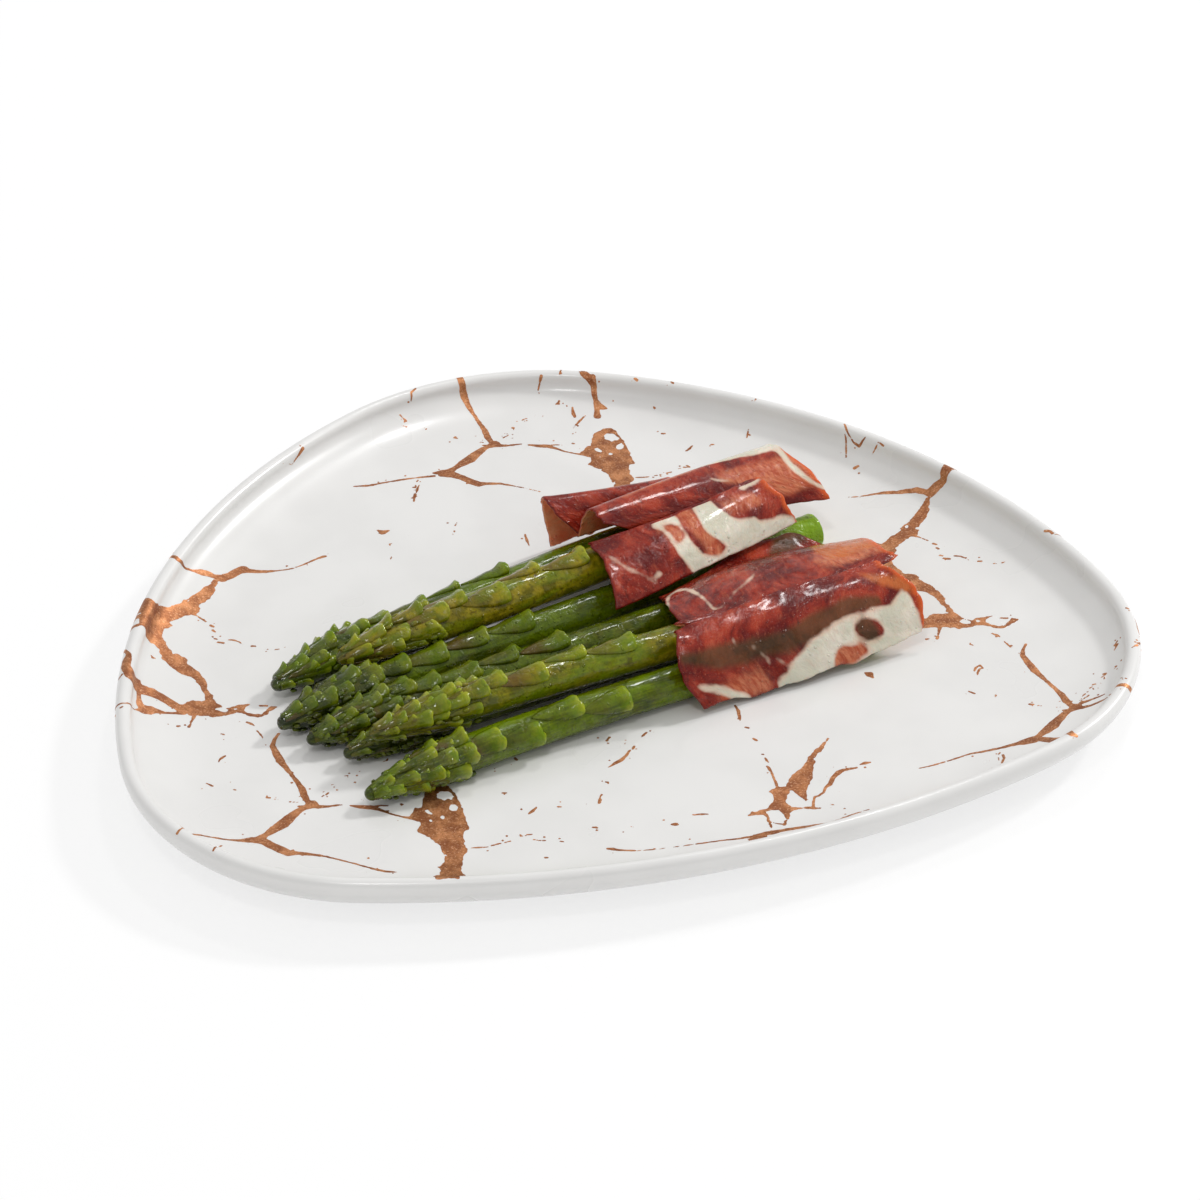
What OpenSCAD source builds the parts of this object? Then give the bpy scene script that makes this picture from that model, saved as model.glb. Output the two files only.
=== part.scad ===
/* [Plate outline] */
// Radius of the back corner at the lip
back_corner_r = 89; // [76:1:105]
// Radius of the two front corners at the lip
front_corner_r = 73; // [66:1:84]
// Distance between the centres of the two front corners
front_corner_gap = 157.5; // [144:0.5:175]
// Distance from the front corners' centres back to the back corner's centre
corner_depth = 90.5; // [82:0.5:100]
// Radius of the bulging left and right sides
side_r = 207.5; // [190:0.5:250]
// Radius of the bulging front side
front_r = 312.5; // [280:0.5:380]

/* [Plate section] */
// Height of the lip above the table
plate_h = 18.5; // [16:0.1:24]
// Thickness of the flat well
well_t = 6; // [4.5:0.1:7.5]
// Height of the foot ring under the well
foot_h = 2.5; // [1.5:0.1:3.5]
// Width of the foot ring at the table
foot_w = 5; // [3.5:0.1:7]
// Inset of the foot ring's outer edge from the lip
foot_inset = 30; // [29:0.5:34]
// Width of the curved underside, from the lip's outer edge inwards
under_w = 26; // [20:0.5:27]
// Thickness of the rounded lip
lip_t = 4.6; // [3.5:0.1:6]
// Width of the curved rim, from the lip's outer edge to the well
rim_w = 27; // [20:0.5:34]

/* [Spears] */
// Diameter of a spear's stalk
spear_d = 11.2; // [10:0.1:12.5]
// Length that the spears' lengths are shares of
spear_len = 170; // [150:1:185]
// Length of a spear's head
head_len = 32; // [26:1:38]
// How far a scale leaf stands out from the stalk
leaf_rise = 1.1; // [0.7:0.05:1.3]
// Length of a scale leaf on the stalk
leaf_len = 15; // [11:0.5:18]
// Distance between scale leaves in the head
head_pitch = 2.3; // [1.9:0.1:2.8]
// Distance from the head to the first scale leaf on the stalk
stalk_pitch = 9; // [6:0.1:10]
// Number of scale leaves on the stalk
stalk_leaves = 4; // [3:1:6]

/* [Ham] */
// Thickness of a ham slice
ham_t = 0.9; // [0.7:0.05:1.1]

/* [Serving] */
// Place of the bundle's middle, to the right of the plate's middle
bundle_x = -6; // [-10:0.5:0]
// Place of the bundle's middle, behind the plate's middle
bundle_y = -15; // [-20:0.5:-8]
// Turn of the bundle, seen from above
bundle_turn = 15; // [8:0.5:22]
// Gap between the pieces that rest on each other
rest_gap = 0.3; // [0.2:0.05:0.5]

/* [Hidden] */

// Each spear: tip along and across, butt along and across, bow, lift of tip and butt,
// size, lean of its scale leaves in degrees and their spread in degrees.
// Along is a share of spear_len, the rest of the lengths are shares of spear_d.
spear_shares = [
    [-0.516,  2.51, 0.470,  3.17,  0.13, 0.00, 0.00, 1.02,  32, 37],
    [-0.412,  1.82, 0.492,  2.34, -0.36, 0.63, 0.70, 1.02,   2, 51.5],
    [-0.562,  0.94, 0.526,  0.82, -0.04, 0.00, 0.00, 1.00,  -8, 7.5],
    [-0.543, -0.06, 0.471, -0.90,  0.04, 0.00, 0.00, 0.95,   0, 12.5],
    [-0.511, -1.06, 0.487, -2.09,  0.13, 0.00, 0.00, 0.85,  10,  0],
    [-0.478, -1.57, 0.496, -2.94,  0.04, 0.71, 0.58, 0.93,  -2, 33.5],
    [-0.538, -2.89, 0.440, -3.92,  0.36, 0.00, 0.00, 0.98, -47, 38]
];

// Each ham slice: three points of its crest, then its back edge and its front edge as reach
// from the crest and height, each at the left end, the middle and the right end, then how far
// the edges run on along the crest, at the left back, left front, right back and right front,
// and how far its ends bulge on the front side.
// Along is a share of spear_len, the rest of the lengths are shares of spear_d.
ham_shares = [
    [[[0.085, 4.25, 1.95], [0.225, 3.82, 1.74], [0.350, 3.70, 1.48]],
        [[0.35, 0.02], [0.70, 0.02], [0.75, 0.02]],
        [[0.80, 0.98], [0.31, 1.04], [0.25, 1.03]], [0.03, 0.055, 0.00, 0.00, 0.00]],
    [[[0.118, 2.50, 2.28], [0.330, 2.62, 2.31], [0.534, 2.68, 2.16]],
        [[0.68, 1.08], [0.60, 1.08], [0.80, 1.11]],
        [[0.67, 1.74], [1.30, 1.52], [1.95, 1.32]], [0.00, 0.065, -0.02, 0.026, 0.01]],
    [[[0.082, 1.72, 1.76], [0.268, 1.42, 2.03], [0.441, 1.53, 2.19]],
        [[0.12, 1.76], [0.12, 2.02], [0.12, 2.18]],
        [[2.02, 1.08], [1.46, 1.25], [1.05, 1.25]], [0.00, -0.035, 0.00, 0.038, 0.01]],
    [[[0.086, -2.32, 1.65], [0.300, -2.50, 1.62], [0.530, -2.55, 1.62]],
        [[1.83, 0.96], [2.36, 0.96], [1.80, 0.52]],
        [[0.10, 1.65], [0.38, 1.50], [0.30, 1.58]], [0.047, 0.00, 0.03, 0.00, 0.01]],
    [[[0.062, -2.75, 1.59], [0.280, -2.92, 1.74], [0.488, -3.24, 1.69]],
        [[0.14, 1.59], [0.16, 1.74], [0.30, 1.68]],
        [[1.27, 0.06], [1.50, 0.05], [1.36, 0.33]], [0.00, 0.012, 0.00, 0.02, 0.03]]
];

// Counts of steps on the curved forms, and how far a facet may stay inside the outline's curve
section_steps = 6;
facet_sag = 0.15;
spear_sides = 12;
leaf_sides = 6;
head_rings = 8;
stalk_rings = 6;
head_leaves = 12;
ham_u = 8;
ham_v = 12;
// Angles: a scale leaf's turn to the next, how much wider the leaves spread in the head,
// and how far a ham slice bends over its crest
leaf_turn = 137.5;
head_spread = 40;
ham_bend = 75;
// Shares that shape a spear's head
tip_share = 0.22;
head_power = 0.8;
head_dip_share = 0.22;
// Share of a leaf's rise that is sunk into the stalk
leaf_sink_share = 0.2;
stalk_spread_power = 1.25;

well_z = foot_h + well_t;
lip_r = lip_t / 2;
lip_z = plate_h - lip_r;
foot_slope = foot_h / 2;

function mix(a, b, t) = a + (b - a) * t;
function curve(p, t) = p[0] + (p[2] - p[0]) * t + 4 * (p[1] - (p[0] + p[2]) / 2) * t * (1 - t);
function unit(a) = [cos(a), sin(a)];

// Plate outline: six arcs that run into each other, the same on the left and on the right
corner_x = front_corner_gap / 2;
side_back = side_r - back_corner_r;
side_front = side_r - front_corner_r;
span = norm([corner_x, corner_depth]);
side_foot = (side_back ^ 2 - side_front ^ 2 + span ^ 2) / (2 * span);
side_off = sqrt(side_back ^ 2 - side_foot ^ 2);
span_dir = [corner_x, -corner_depth] / span;
side_from_back = span_dir * side_foot + [span_dir[1], -span_dir[0]] * side_off;
front_off = sqrt((front_r - front_corner_r) ^ 2 - corner_x ^ 2);
// Half the plate's depth puts its middle at the origin
back_y = (back_corner_r + corner_depth + front_r - front_off) / 2 - back_corner_r;
back_c = [0, back_y];
front_c = [corner_x, back_y - corner_depth];
side_c = back_c + side_from_back;
bulge_c = [0, front_c[1] + front_off];
side_a0 = atan2(front_c[1] - side_c[1], front_c[0] - side_c[0]);
side_a1 = atan2(back_c[1] - side_c[1], back_c[0] - side_c[0]);
front_a = atan2(front_c[1] - bulge_c[1], front_c[0] - bulge_c[0]);
// Each arc: its centre, its radius at the lip and its first and last angle
arcs = [
    [front_c, front_corner_r, front_a, side_a0],
    [side_c, side_r, side_a0, side_a1],
    [back_c, back_corner_r, side_a1, 180 - side_a1],
    [[-side_c[0], side_c[1]], side_r, 180 - side_a1, 180 - side_a0],
    [[-front_c[0], front_c[1]], front_corner_r, 180 - side_a0, 180 - front_a],
    [bulge_c, front_r, -180 - front_a, front_a]
];

function outline(inset) = [
    for (a = arcs)
        let (n = ceil((a[3] - a[2]) / (2 * acos(1 - facet_sag / a[1]))))
            for (i = [0:n - 1]) a[0] + (a[1] - inset) * unit(mix(a[2], a[3], i / n))
];

// Plate section as insets from the lip and heights above the table, from the edge of the well
// up the rim, over the lip, down the underside and round the foot ring
rim_section = concat(
    [for (i = [0:section_steps]) let (a = 90 * i / section_steps)
        [rim_w - (rim_w - lip_t) * sin(a), well_z + (lip_z - well_z) * (1 - cos(a))]],
    [for (i = [1:section_steps - 1]) let (a = 180 * i / section_steps)
        [lip_r + lip_r * cos(a), lip_z + lip_r * sin(a)]],
    [for (i = [0:section_steps]) let (a = 90 * i / section_steps)
        [under_w * (1 - cos(a)), lip_z - (lip_z - foot_h) * sin(a)]],
    [[foot_inset - foot_slope, foot_h], [foot_inset, 0], [foot_inset + foot_w, 0],
        [foot_inset + foot_w + foot_slope, foot_h]]
);

// The section runs round the outline as a loft, closed by the well and the recess under it
module plate() color("#f2f1ee") {
    n = len(outline(0));
    last = (len(rim_section) - 1) * n;
    polyhedron([for (p = rim_section) for (q = outline(p[0])) [q[0], q[1], p[1]]], concat(
        [[for (i = [n - 1:-1:0]) i], [for (i = [0:n - 1]) last + i]],
        [for (k = [0:len(rim_section) - 2]) for (i = [0:n - 1]) let (a = k * n, j = (i + 1) % n)
            for (f = [[a + i, a + j, a + n + j], [a + i, a + n + j, a + n + i]]) f]
    ));
}

// Spears
function spear_r(s) = s[7] * spear_d / 2;
function spear_from(s) = [s[0] * spear_len, s[1] * spear_d];
function spear_to(s) = [s[2] * spear_len, s[3] * spear_d];
function spear_size(s) = norm(spear_to(s) - spear_from(s));
// Share of the head left to run at a distance from the tip: 1 at the tip, 0 on the stalk
function head_share(x) = max(0, 1 - x / head_len);
function stalk_r(s, x) =
    spear_r(s) * (tip_share + (1 - tip_share) * sin(90 * (1 - head_share(x))) ^ head_power);
// Point on a spear's axis at a distance from its tip
function spear_axis(s, x) =
    let (a = spear_from(s), b = spear_to(s), n = spear_size(s), t = x / n, d = (b - a) / n,
        p = a + d * x + [-d[1], d[0]] * 4 * s[4] * spear_d * t * (1 - t),
        z = rest_gap + mix(s[5], s[6], t) * spear_d
            + spear_r(s) * (1 - head_dip_share * head_share(x) ^ 2))
    [p[0], p[1], z];
function spear_turn(s, x) =
    let (d = spear_axis(s, x + head_pitch) - spear_axis(s, x - head_pitch)) atan2(d[1], d[0]);
function ring_places(s) = concat(
    [for (i = [0:head_rings - 1]) head_len * (i / head_rings) ^ 1.4],
    [for (i = [0:stalk_rings]) mix(head_len, spear_size(s), i / stalk_rings)]
);

module stalk(s) {
    xs = ring_places(s);
    n = spear_sides;
    last = (len(xs) - 1) * n;
    points = concat(
        [for (x = xs)
            let (p = spear_axis(s, x), r = stalk_r(s, x), a = spear_turn(s, x))
                for (i = [0:n - 1]) let (c = 360 * i / n)
                    p + r * [-sin(a) * cos(c), cos(a) * cos(c), sin(c)]],
        [spear_axis(s, 0) - spear_r(s) * tip_share * [1, 0, 0], spear_axis(s, spear_size(s))]
    );
    polyhedron(points, concat(
        [for (k = [0:len(xs) - 2]) for (i = [0:n - 1]) let (j = (i + 1) % n, a = k * n)
            [a + i, a + n + i, a + n + j, a + j]],
        [for (i = [0:n - 1]) [len(points) - 2, i, (i + 1) % n]],
        [for (i = [0:n - 1]) [len(points) - 1, last + (i + 1) % n, last + i]]
    ));
}

// Side of the stalk that a leaf sits on, from -1 to 1: the turn to the next leaf never repeats
function swing(k) = 2 * (k * leaf_turn / 360 - floor(k * leaf_turn / 360)) - 1;

// Scale leaf that clasps a stalk of radius r: a blunt spur at its root, widest just before it,
// thinning towards the tip. Each slice reaches down past where the stalk is as wide as it is.
module leaf(size, width, rise, r) {
    hull() {
        leaf_slice(0, width * 0.3, rise * 0.8, r);
        leaf_slice(-size * 0.25, width * 0.5, rise, r);
        leaf_slice(-size, width * 0.12, rise * 0.2, r);
    }
}
module leaf_slice(x, half_w, rise, r) {
    drop = r - sqrt(max(0, r ^ 2 - half_w ^ 2)) + rise / 2;
    translate([x, 0, -drop]) rotate([0, 90, 0])
        scale([rise + drop, half_w, rise / 4]) cylinder(r = 1, h = 1, $fn = leaf_sides);
}

// Puts a leaf of a given length on a spear's skin, tilted so that its tip lies on the skin too
module on_spear(s, x, roll, size) {
    tilt = atan((stalk_r(s, x) - stalk_r(s, max(0, x - size))) / size);
    translate(spear_axis(s, x)) rotate([0, 0, spear_turn(s, x)]) rotate([roll, 0, 0])
        translate([0, 0, stalk_r(s, x) - leaf_rise * leaf_sink_share]) rotate([0, -tilt, 0])
            children();
}

module spear(s) {
    stalk(s);
    for (k = [1:head_leaves]) {
        size = leaf_len * mix(0.45, 0.75, k / head_leaves);
        x = head_pitch * k + size / 2;
        on_spear(s, x, (s[9] + head_spread) * swing(k) - s[8], size)
            leaf(size, spear_r(s) * mix(0.8, 1.2, k / head_leaves), leaf_rise * 0.8,
                stalk_r(s, x));
    }
    for (k = [1:stalk_leaves])
        on_spear(s, head_len + stalk_pitch * k ^ stalk_spread_power, s[9] * swing(k) - s[8],
            leaf_len) leaf(leaf_len, spear_r(s) * 1.5, leaf_rise, spear_r(s));
}

module in_bundle() translate([bundle_x, bundle_y, well_z]) rotate(bundle_turn) children();

module spear_1() color("#3f6b16") in_bundle() spear(spear_shares[0]);
module spear_2() color("#7c8420") in_bundle() spear(spear_shares[1]);
module spear_3() color("#2f5a14") in_bundle() spear(spear_shares[2]);
module spear_4() color("#35651a") in_bundle() spear(spear_shares[3]);
module spear_5() color("#3a5f18") in_bundle() spear(spear_shares[4]);
module spear_6() color("#5f8a22") in_bundle() spear(spear_shares[5]);
module spear_7() color("#4c8a1c") in_bundle() spear(spear_shares[6]);

// Ham slices: each bends over its crest and comes down on both sides
function in_units(p) = [p[0] * spear_len, p[1] * spear_d, p[2] * spear_d];
function ham_point(h, u, v) =
    let (c = [for (p = h[0]) in_units(p)], p = curve(c, u), side = v < 0 ? h[1] : h[2],
        edge = curve(side, u) * spear_d, w = abs(v), d = c[2] - c[0],
        along = [d[0], d[1]] / norm([d[0], d[1]]), across = sign(v) * [along[1], -along[0]],
        a = ham_bend * w, over = edge[0] * sin(a) / sin(ham_bend),
        drop = (p[2] - edge[1]) * (1 - cos(a)) / (1 - cos(ham_bend)),
        bulge = v > 0 ? mix(-h[3][4], h[3][4], u) * sin(180 * w) : 0,
        run = spear_len * (bulge + w ^ 2
            * (v < 0 ? mix(h[3][0], h[3][2], u) : mix(h[3][1], h[3][3], u))),
        q = [p[0], p[1]] + across * over + along * run)
    [q[0], q[1], rest_gap + p[2] - drop];
function ham_normal(h, u, v) =
    let (e = 0.01, n = cross(ham_point(h, u + e, v) - ham_point(h, u - e, v),
        ham_point(h, u, v - e) - ham_point(h, u, v + e)))
    n / norm(n);

module ham_slice(h) {
    w = ham_v + 1;
    m = (ham_u + 1) * w;
    grid = [for (i = [0:ham_u]) for (j = [0:ham_v]) [i / ham_u, 2 * j / ham_v - 1]];
    under = [for (g = grid) ham_point(h, g[0], g[1])];
    over = [for (g = grid) ham_point(h, g[0], g[1]) + ham_t * ham_normal(h, g[0], g[1])];
    left = [for (j = [0:ham_v]) j];
    right = [for (j = [ham_v:-1:0]) ham_u * w + j];
    back = [for (i = [ham_u:-1:0]) i * w];
    front = [for (i = [0:ham_u]) i * w + ham_v];
    polyhedron(concat(under, over), concat(
        [for (i = [0:ham_u - 1]) for (j = [0:ham_v - 1]) let (a = i * w + j)
            for (f = [[a, a + 1, a + w + 1], [a, a + w + 1, a + w]]) f],
        [for (i = [0:ham_u - 1]) for (j = [0:ham_v - 1]) let (a = m + i * w + j)
            for (f = [[a, a + w, a + w + 1], [a, a + w + 1, a + 1]]) f],
        [for (e = [left, right, back, front]) for (k = [0:len(e) - 2])
            for (f = [[e[k], e[k] + m, e[k + 1] + m], [e[k], e[k + 1] + m, e[k + 1]]]) f]
    ));
}

module ham_slice_1() color("#9c3b30") in_bundle() ham_slice(ham_shares[0]);
module ham_slice_2() color("#a84438") in_bundle() ham_slice(ham_shares[1]);
module ham_slice_3() color("#a5483c") in_bundle() ham_slice(ham_shares[2]);
module ham_slice_4() color("#8a3a30") in_bundle() ham_slice(ham_shares[3]);
module ham_slice_5() color("#a03f34") in_bundle() ham_slice(ham_shares[4]);

plate();
spear_1();
spear_2();
spear_3();
spear_4();
spear_5();
spear_6();
spear_7();
ham_slice_1();
ham_slice_2();
ham_slice_3();
ham_slice_4();
ham_slice_5();
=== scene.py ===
"""A rounded three-cornered serving plate with a rose-copper crackle, and on it seven cooked asparagus
spears whose cut ends are draped with five thin slices of cured ham."""
from collections import namedtuple

import bpy
import numpy as np
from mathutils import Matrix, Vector


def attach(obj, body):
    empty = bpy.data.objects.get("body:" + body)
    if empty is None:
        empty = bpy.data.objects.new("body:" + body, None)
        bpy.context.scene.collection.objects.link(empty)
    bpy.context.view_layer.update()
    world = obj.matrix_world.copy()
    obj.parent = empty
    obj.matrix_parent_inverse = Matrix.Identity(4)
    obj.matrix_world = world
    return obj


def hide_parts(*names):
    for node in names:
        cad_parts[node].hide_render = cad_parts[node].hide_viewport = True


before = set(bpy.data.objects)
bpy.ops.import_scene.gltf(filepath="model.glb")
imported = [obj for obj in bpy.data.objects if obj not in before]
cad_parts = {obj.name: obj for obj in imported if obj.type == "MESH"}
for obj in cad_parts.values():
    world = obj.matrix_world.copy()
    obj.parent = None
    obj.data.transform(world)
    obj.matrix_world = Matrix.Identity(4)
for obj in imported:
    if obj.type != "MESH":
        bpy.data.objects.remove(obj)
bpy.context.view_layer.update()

MM = 0.001

# The camera, as the photograph was taken.
CAMERA_AT = (-0.3094, -0.9712, 0.7031)
CAMERA_LOOKS_AT = (0.0064, 0.0090, 0.0085)
CAMERA_LENS = 123.5

# The plate's outline: arcs of centre x, centre y, radius, first and last angle (mm, degrees).
ARCS = [(78.75, -46.591, 73.0, -70.803, 6.18), (-54.968, -61.071, 207.5, 6.18, 62.363),
        (0.0, 43.909, 89.0, 62.363, 117.637), (54.968, -61.071, 207.5, 117.637, 173.82),
        (-78.75, -46.591, 73.0, 173.82, 250.803), (0.0, 179.591, 312.5, -109.197, -70.803)]
WELL_Z = 8.5
RIM_W = 27.0
LIP_R = 2.3
LIP_Z = 16.2
UNDER_W = 26.0
BASE_Z = 2.5
# The section of the foot ring: inset and height (mm).
FOOT = [[28.2, 2.5], [28.75, 2.35], [29.5, 0.7], [29.9, 0.15], [30.3, 0.0], [32.5, 0.0], [34.7, 0.0],
        [35.1, 0.15], [35.5, 0.7], [36.25, 2.35], [36.8, 2.5]]

# The bundle of spears on the plate: its middle (mm) and how far it is turned (degrees).
BUNDLE_AT = (-6.0, -15.0, WELL_Z)
BUNDLE_TURN = 15.0
SPEAR_D = 11.2
SPEAR_LEN = 170.0
HEAD_LEN = 32.0
# A head's radius at its tip (share of the stalk's), and the length of its round nose (share of that radius).
TIP_SHARE = 0.22
NOSE_SHARE = 1.1
# How far a bud stands out and a scale is sunk (mm), and how many times longer than wide a bud is.
BUD_RISE = 0.5
SCALE_SUNK = 0.10
BUD_LONG = 1.7
# The turn from one leaf to the next (degrees).
GOLDEN_TURN = 137.5
# How far further back a drawn head takes its radius from, and the length of a cut end's rounding (mm).
HEAD_BACK = 3.2
CUT_ROUND = 0.6
# A cut end's rings: how far each lies beyond the stalk's last ring (mm), and its share of that radius.
CUT_RINGS = [(0.35, 0.985), (0.55, 0.95), (0.6, 0.88), (0.55, 0.6), (0.45, 0.3)]
STALK_SIDES = 72
# The gap under the food, and the least gaps between two spears and between a spear and the plate (mm).
UNDER_FOOD = 0.3
BETWEEN_SPEARS = 0.2
OFF_PLATE = 0.12

# A spear: its tip and its butt along and across the bundle (shares of the length and thickness), its bow,
# the lift of its tip and its butt, its size, and the lean and spread of its leaves (degrees).
Spear = namedtuple("Spear", ["tip_along", "tip_across", "butt_along", "butt_across", "bow", "tip_lift",
                             "butt_lift", "size", "lean", "spread"])
SPEARS = [
    Spear(-0.516, 2.51, 0.470, 3.17, 0.13, 0, 0, 1.02, 32, 37),
    Spear(-0.412, 1.82, 0.492, 2.34, -0.36, 0.63, 0.70, 1.02, 2, 51.5),
    Spear(-0.562, 0.94, 0.526, 0.82, -0.04, 0, 0, 1.00, -8, 7.5),
    Spear(-0.543, -0.06, 0.471, -0.90, 0.04, 0, 0, 0.95, 0, 12.5),
    Spear(-0.511, -1.06, 0.487, -2.09, 0.13, 0, 0, 0.85, 10, 0),
    Spear(-0.478, -1.57, 0.496, -2.94, 0.04, 0.71, 0.58, 0.93, -2, 33.5),
    Spear(-0.538, -2.89, 0.440, -3.92, 0.36, 0, 0, 0.98, -47, 38)]
SPEAR_BODIES = ["asparagus", "upper_back_spear", "asparagus", "asparagus", "asparagus",
                "upper_front_spear", "asparagus"]
# How olive and how dark each spear's skin is, and how many buds show between its scales.
SPEAR_LOOKS = [(0.10, 0.35, 40), (0.80, 0.10, 60), (0.15, 0.80, 170), (0.20, 0.80, 150),
               (0.30, 0.70, 110), (0.50, 0.00, 30), (0.12, 0.10, 90)]

# How much fuller each head is drawn than its spear's solid (mm).
HEAD_FULLER = [0.8, 0.4, 1.3, 0.9, 0.5, 0.4, 0.5]

# A ham slice: three points each of its crest, its back edge and its front edge (shares of the length
# and thickness), and how far its back and front edges run askew at their left and right ends.
Slice = namedtuple("Slice", ["crest", "back", "front", "askew"])
Askew = namedtuple("Askew", ["back_left", "front_left", "back_right", "front_right", "swell"])
HAM = [
    Slice([[0.085, 4.25, 1.95], [0.225, 3.82, 1.74], [0.350, 3.70, 1.48]],
          [[0.35, 0.02], [0.70, 0.02], [0.75, 0.02]],
          [[0.80, 0.98], [0.31, 1.04], [0.25, 1.03]], Askew(0.03, 0.055, 0, 0, 0)),
    Slice([[0.118, 2.50, 2.28], [0.330, 2.62, 2.31], [0.534, 2.68, 2.16]],
          [[0.68, 1.08], [0.60, 1.08], [0.80, 1.11]],
          [[0.67, 1.74], [1.30, 1.52], [1.95, 1.32]], Askew(0, 0.065, -0.02, 0.026, 0.01)),
    Slice([[0.082, 1.72, 1.76], [0.268, 1.42, 2.03], [0.441, 1.53, 2.19]],
          [[0.12, 1.76], [0.12, 2.02], [0.12, 2.18]],
          [[2.02, 1.08], [1.46, 1.25], [1.05, 1.25]], Askew(0, -0.035, 0, 0.038, 0.01)),
    Slice([[0.086, -2.32, 1.65], [0.300, -2.50, 1.62], [0.530, -2.55, 1.62]],
          [[1.83, 0.96], [2.36, 0.96], [1.80, 0.52]],
          [[0.10, 1.65], [0.38, 1.50], [0.30, 1.58]], Askew(0.047, 0, 0.03, 0, 0.01)),
    Slice([[0.062, -2.75, 1.59], [0.280, -2.92, 1.74], [0.488, -3.24, 1.69]],
          [[0.14, 1.59], [0.16, 1.74], [0.30, 1.68]],
          [[1.27, 0.06], [1.50, 0.05], [1.36, 0.33]], Askew(0, 0.012, 0, 0.02, 0.03))]
WIDE_SLICE = 3
# The part of an ellipse's quarter that a draped side takes (degrees).
DRAPE_TURN = 75.0
# How far a slice may ripple outwards (mm): the ones that lie under another stay nearly flat.
HAM_RIPPLE = [0.25, 0.15, 0.50, 0.12, 0.65]
# How far a slice's front edge may be eaten in (share of its front side).
HAM_RAGGED = [0.05, 0.06, 0.05, 0.04, 0.09]
# A slice's edge line above what it is draped on, how far its outside and its inside stand off that line,
# and the width of its rounded edge (mm).
HAM_EDGE = 0.42
HAM_OUT = 0.43
HAM_IN = 0.37
HAM_ROUND = 0.7
# The points of a slice along its crest and across it.
HAM_GRID = (190, 128)

# The photograph's camera, solved from the plate's lip: the pixel that it aims through, how steeply it looks
# down and how far it is turned (degrees), its focal length (pixels), how far it is from the point of the
# well that it looks at, and that point (mm).
PHOTO_MIDDLE = 600.0
PHOTO_STEEP = 34.0
PHOTO_TURN = 17.856
PHOTO_FOCUS = 4115.589
PHOTO_AWAY = 1242.198
PHOTO_AIM = (6.467, 9.0145)
# How often a ray's height on the plate is corrected, and by which share of what is missing each time.
HEIGHT_ROUNDS = 14
HEIGHT_STEP = 0.7

# Enlarged crops of the photograph: the left and top pixel of each, in the photograph's own 1200 x 1200
# pixels, and how many times it was enlarged.
CROPS = {"whole": (0, 0, 1.0), "back": (330, 350, 3.84615), "left": (90, 540, 6.0),
         "front": (160, 690, 3.26087), "right": (830, 440, 4.28571), "front_right": (590, 690, 4.83871)}

# The copper crackle as points picked on the crops, in the crops' own pixels. A vein is a row of x, y
# and width; a patch and a hole are rows of x and y.
FORK_VEINS = [("front", [[387, 143, 8, 372, 163, 10, 366, 182, 18, 378, 206, 24, 392, 232, 26,
    403, 246, 18, 425, 272, 12, 447, 300, 14, 462, 322, 22, 470, 345, 24, 480, 362, 18, 494, 374, 30],
    [494, 374, 30, 515, 381, 12, 545, 380, 7, 575, 376, 6, 594, 374, 3], [620, 377, 5, 650, 381, 11,
    690, 383, 14, 715, 390, 9, 750, 404, 5, 790, 414, 5, 820, 418, 9, 840, 418, 22], [690, 381, 6,
    720, 377, 4, 745, 378, 2], [494, 374, 30, 470, 386, 12, 452, 394, 20, 425, 415, 28, 400, 437, 34,
    372, 455, 26, 345, 472, 16, 318, 488, 20, 290, 490, 16, 262, 491, 8], [452, 380, 6, 470, 381, 10,
    480, 378, 8], [1010, 515, 3, 1040, 514, 5, 1070, 512, 3], [1080, 508, 4, 1090, 506, 4], [1098, 503, 4,
    1110, 500, 4], [1125, 497, 4, 1143, 492, 4], [1170, 478, 3, 1182, 476, 4], [1196, 472, 4,
    1212, 471, 5], [1215, 487, 4, 1235, 491, 4, 1256, 491, 3], [1303, 493, 3, 1314, 495, 3], [212, 215, 4,
    196, 225, 7, 190, 236, 5], [150, 304, 4, 172, 314, 5], [237, 325, 3, 246, 326, 3], [346, 351, 5,
    358, 352, 5], [372, 356, 2, 384, 357, 2], [425, 365, 2, 455, 367, 2], [568, 313, 5, 568, 318, 5],
    [548, 336, 5, 540, 342, 4], [534, 343, 4, 528, 348, 4], [612, 281, 4, 612, 286, 4], [742, 225, 7,
    738, 232, 7], [655, 356, 3, 662, 360, 3], [783, 371, 5, 791, 373, 4], [200, 508, 5, 193, 512, 3],
    [189, 520, 5, 186, 526, 5], [183, 534, 8, 174, 545, 6], [1088, 256, 3, 1094, 258, 3], [1117, 336, 5,
    1128, 336, 5], [1227, 383, 5, 1215, 395, 10, 1201, 404, 4], [1297, 381, 4, 1307, 381, 4],
    [1412, 448, 4, 1424, 450, 5], [1254, 547, 4, 1263, 547, 4], [1450, 300, 3, 1463, 301, 3],
    [1464, 154, 7, 1456, 166, 5], [1437, 343, 4, 1430, 367, 7], [1498, 228, 5, 1482, 240, 9,
    1463, 252, 3]]),
    ("back", [[890, 72, 10, 888, 100, 8, 884, 133, 6], [932, 222, 7, 934, 240, 13, 940, 258, 12],
    [938, 202, 3, 936, 208, 3], [982, 252, 4, 958, 275, 8, 935, 300, 3], [940, 316, 3, 948, 318, 3],
    [1172, 133, 7, 1180, 137, 8], [1312, 146, 7, 1319, 151, 7], [812, 145, 6, 800, 155, 6], [877, 203, 6,
    866, 211, 5], [672, 322, 3, 664, 327, 3], [705, 298, 3, 695, 301, 3], [756, 264, 3, 738, 270, 4],
    [796, 247, 2, 786, 253, 2]])]
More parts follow.
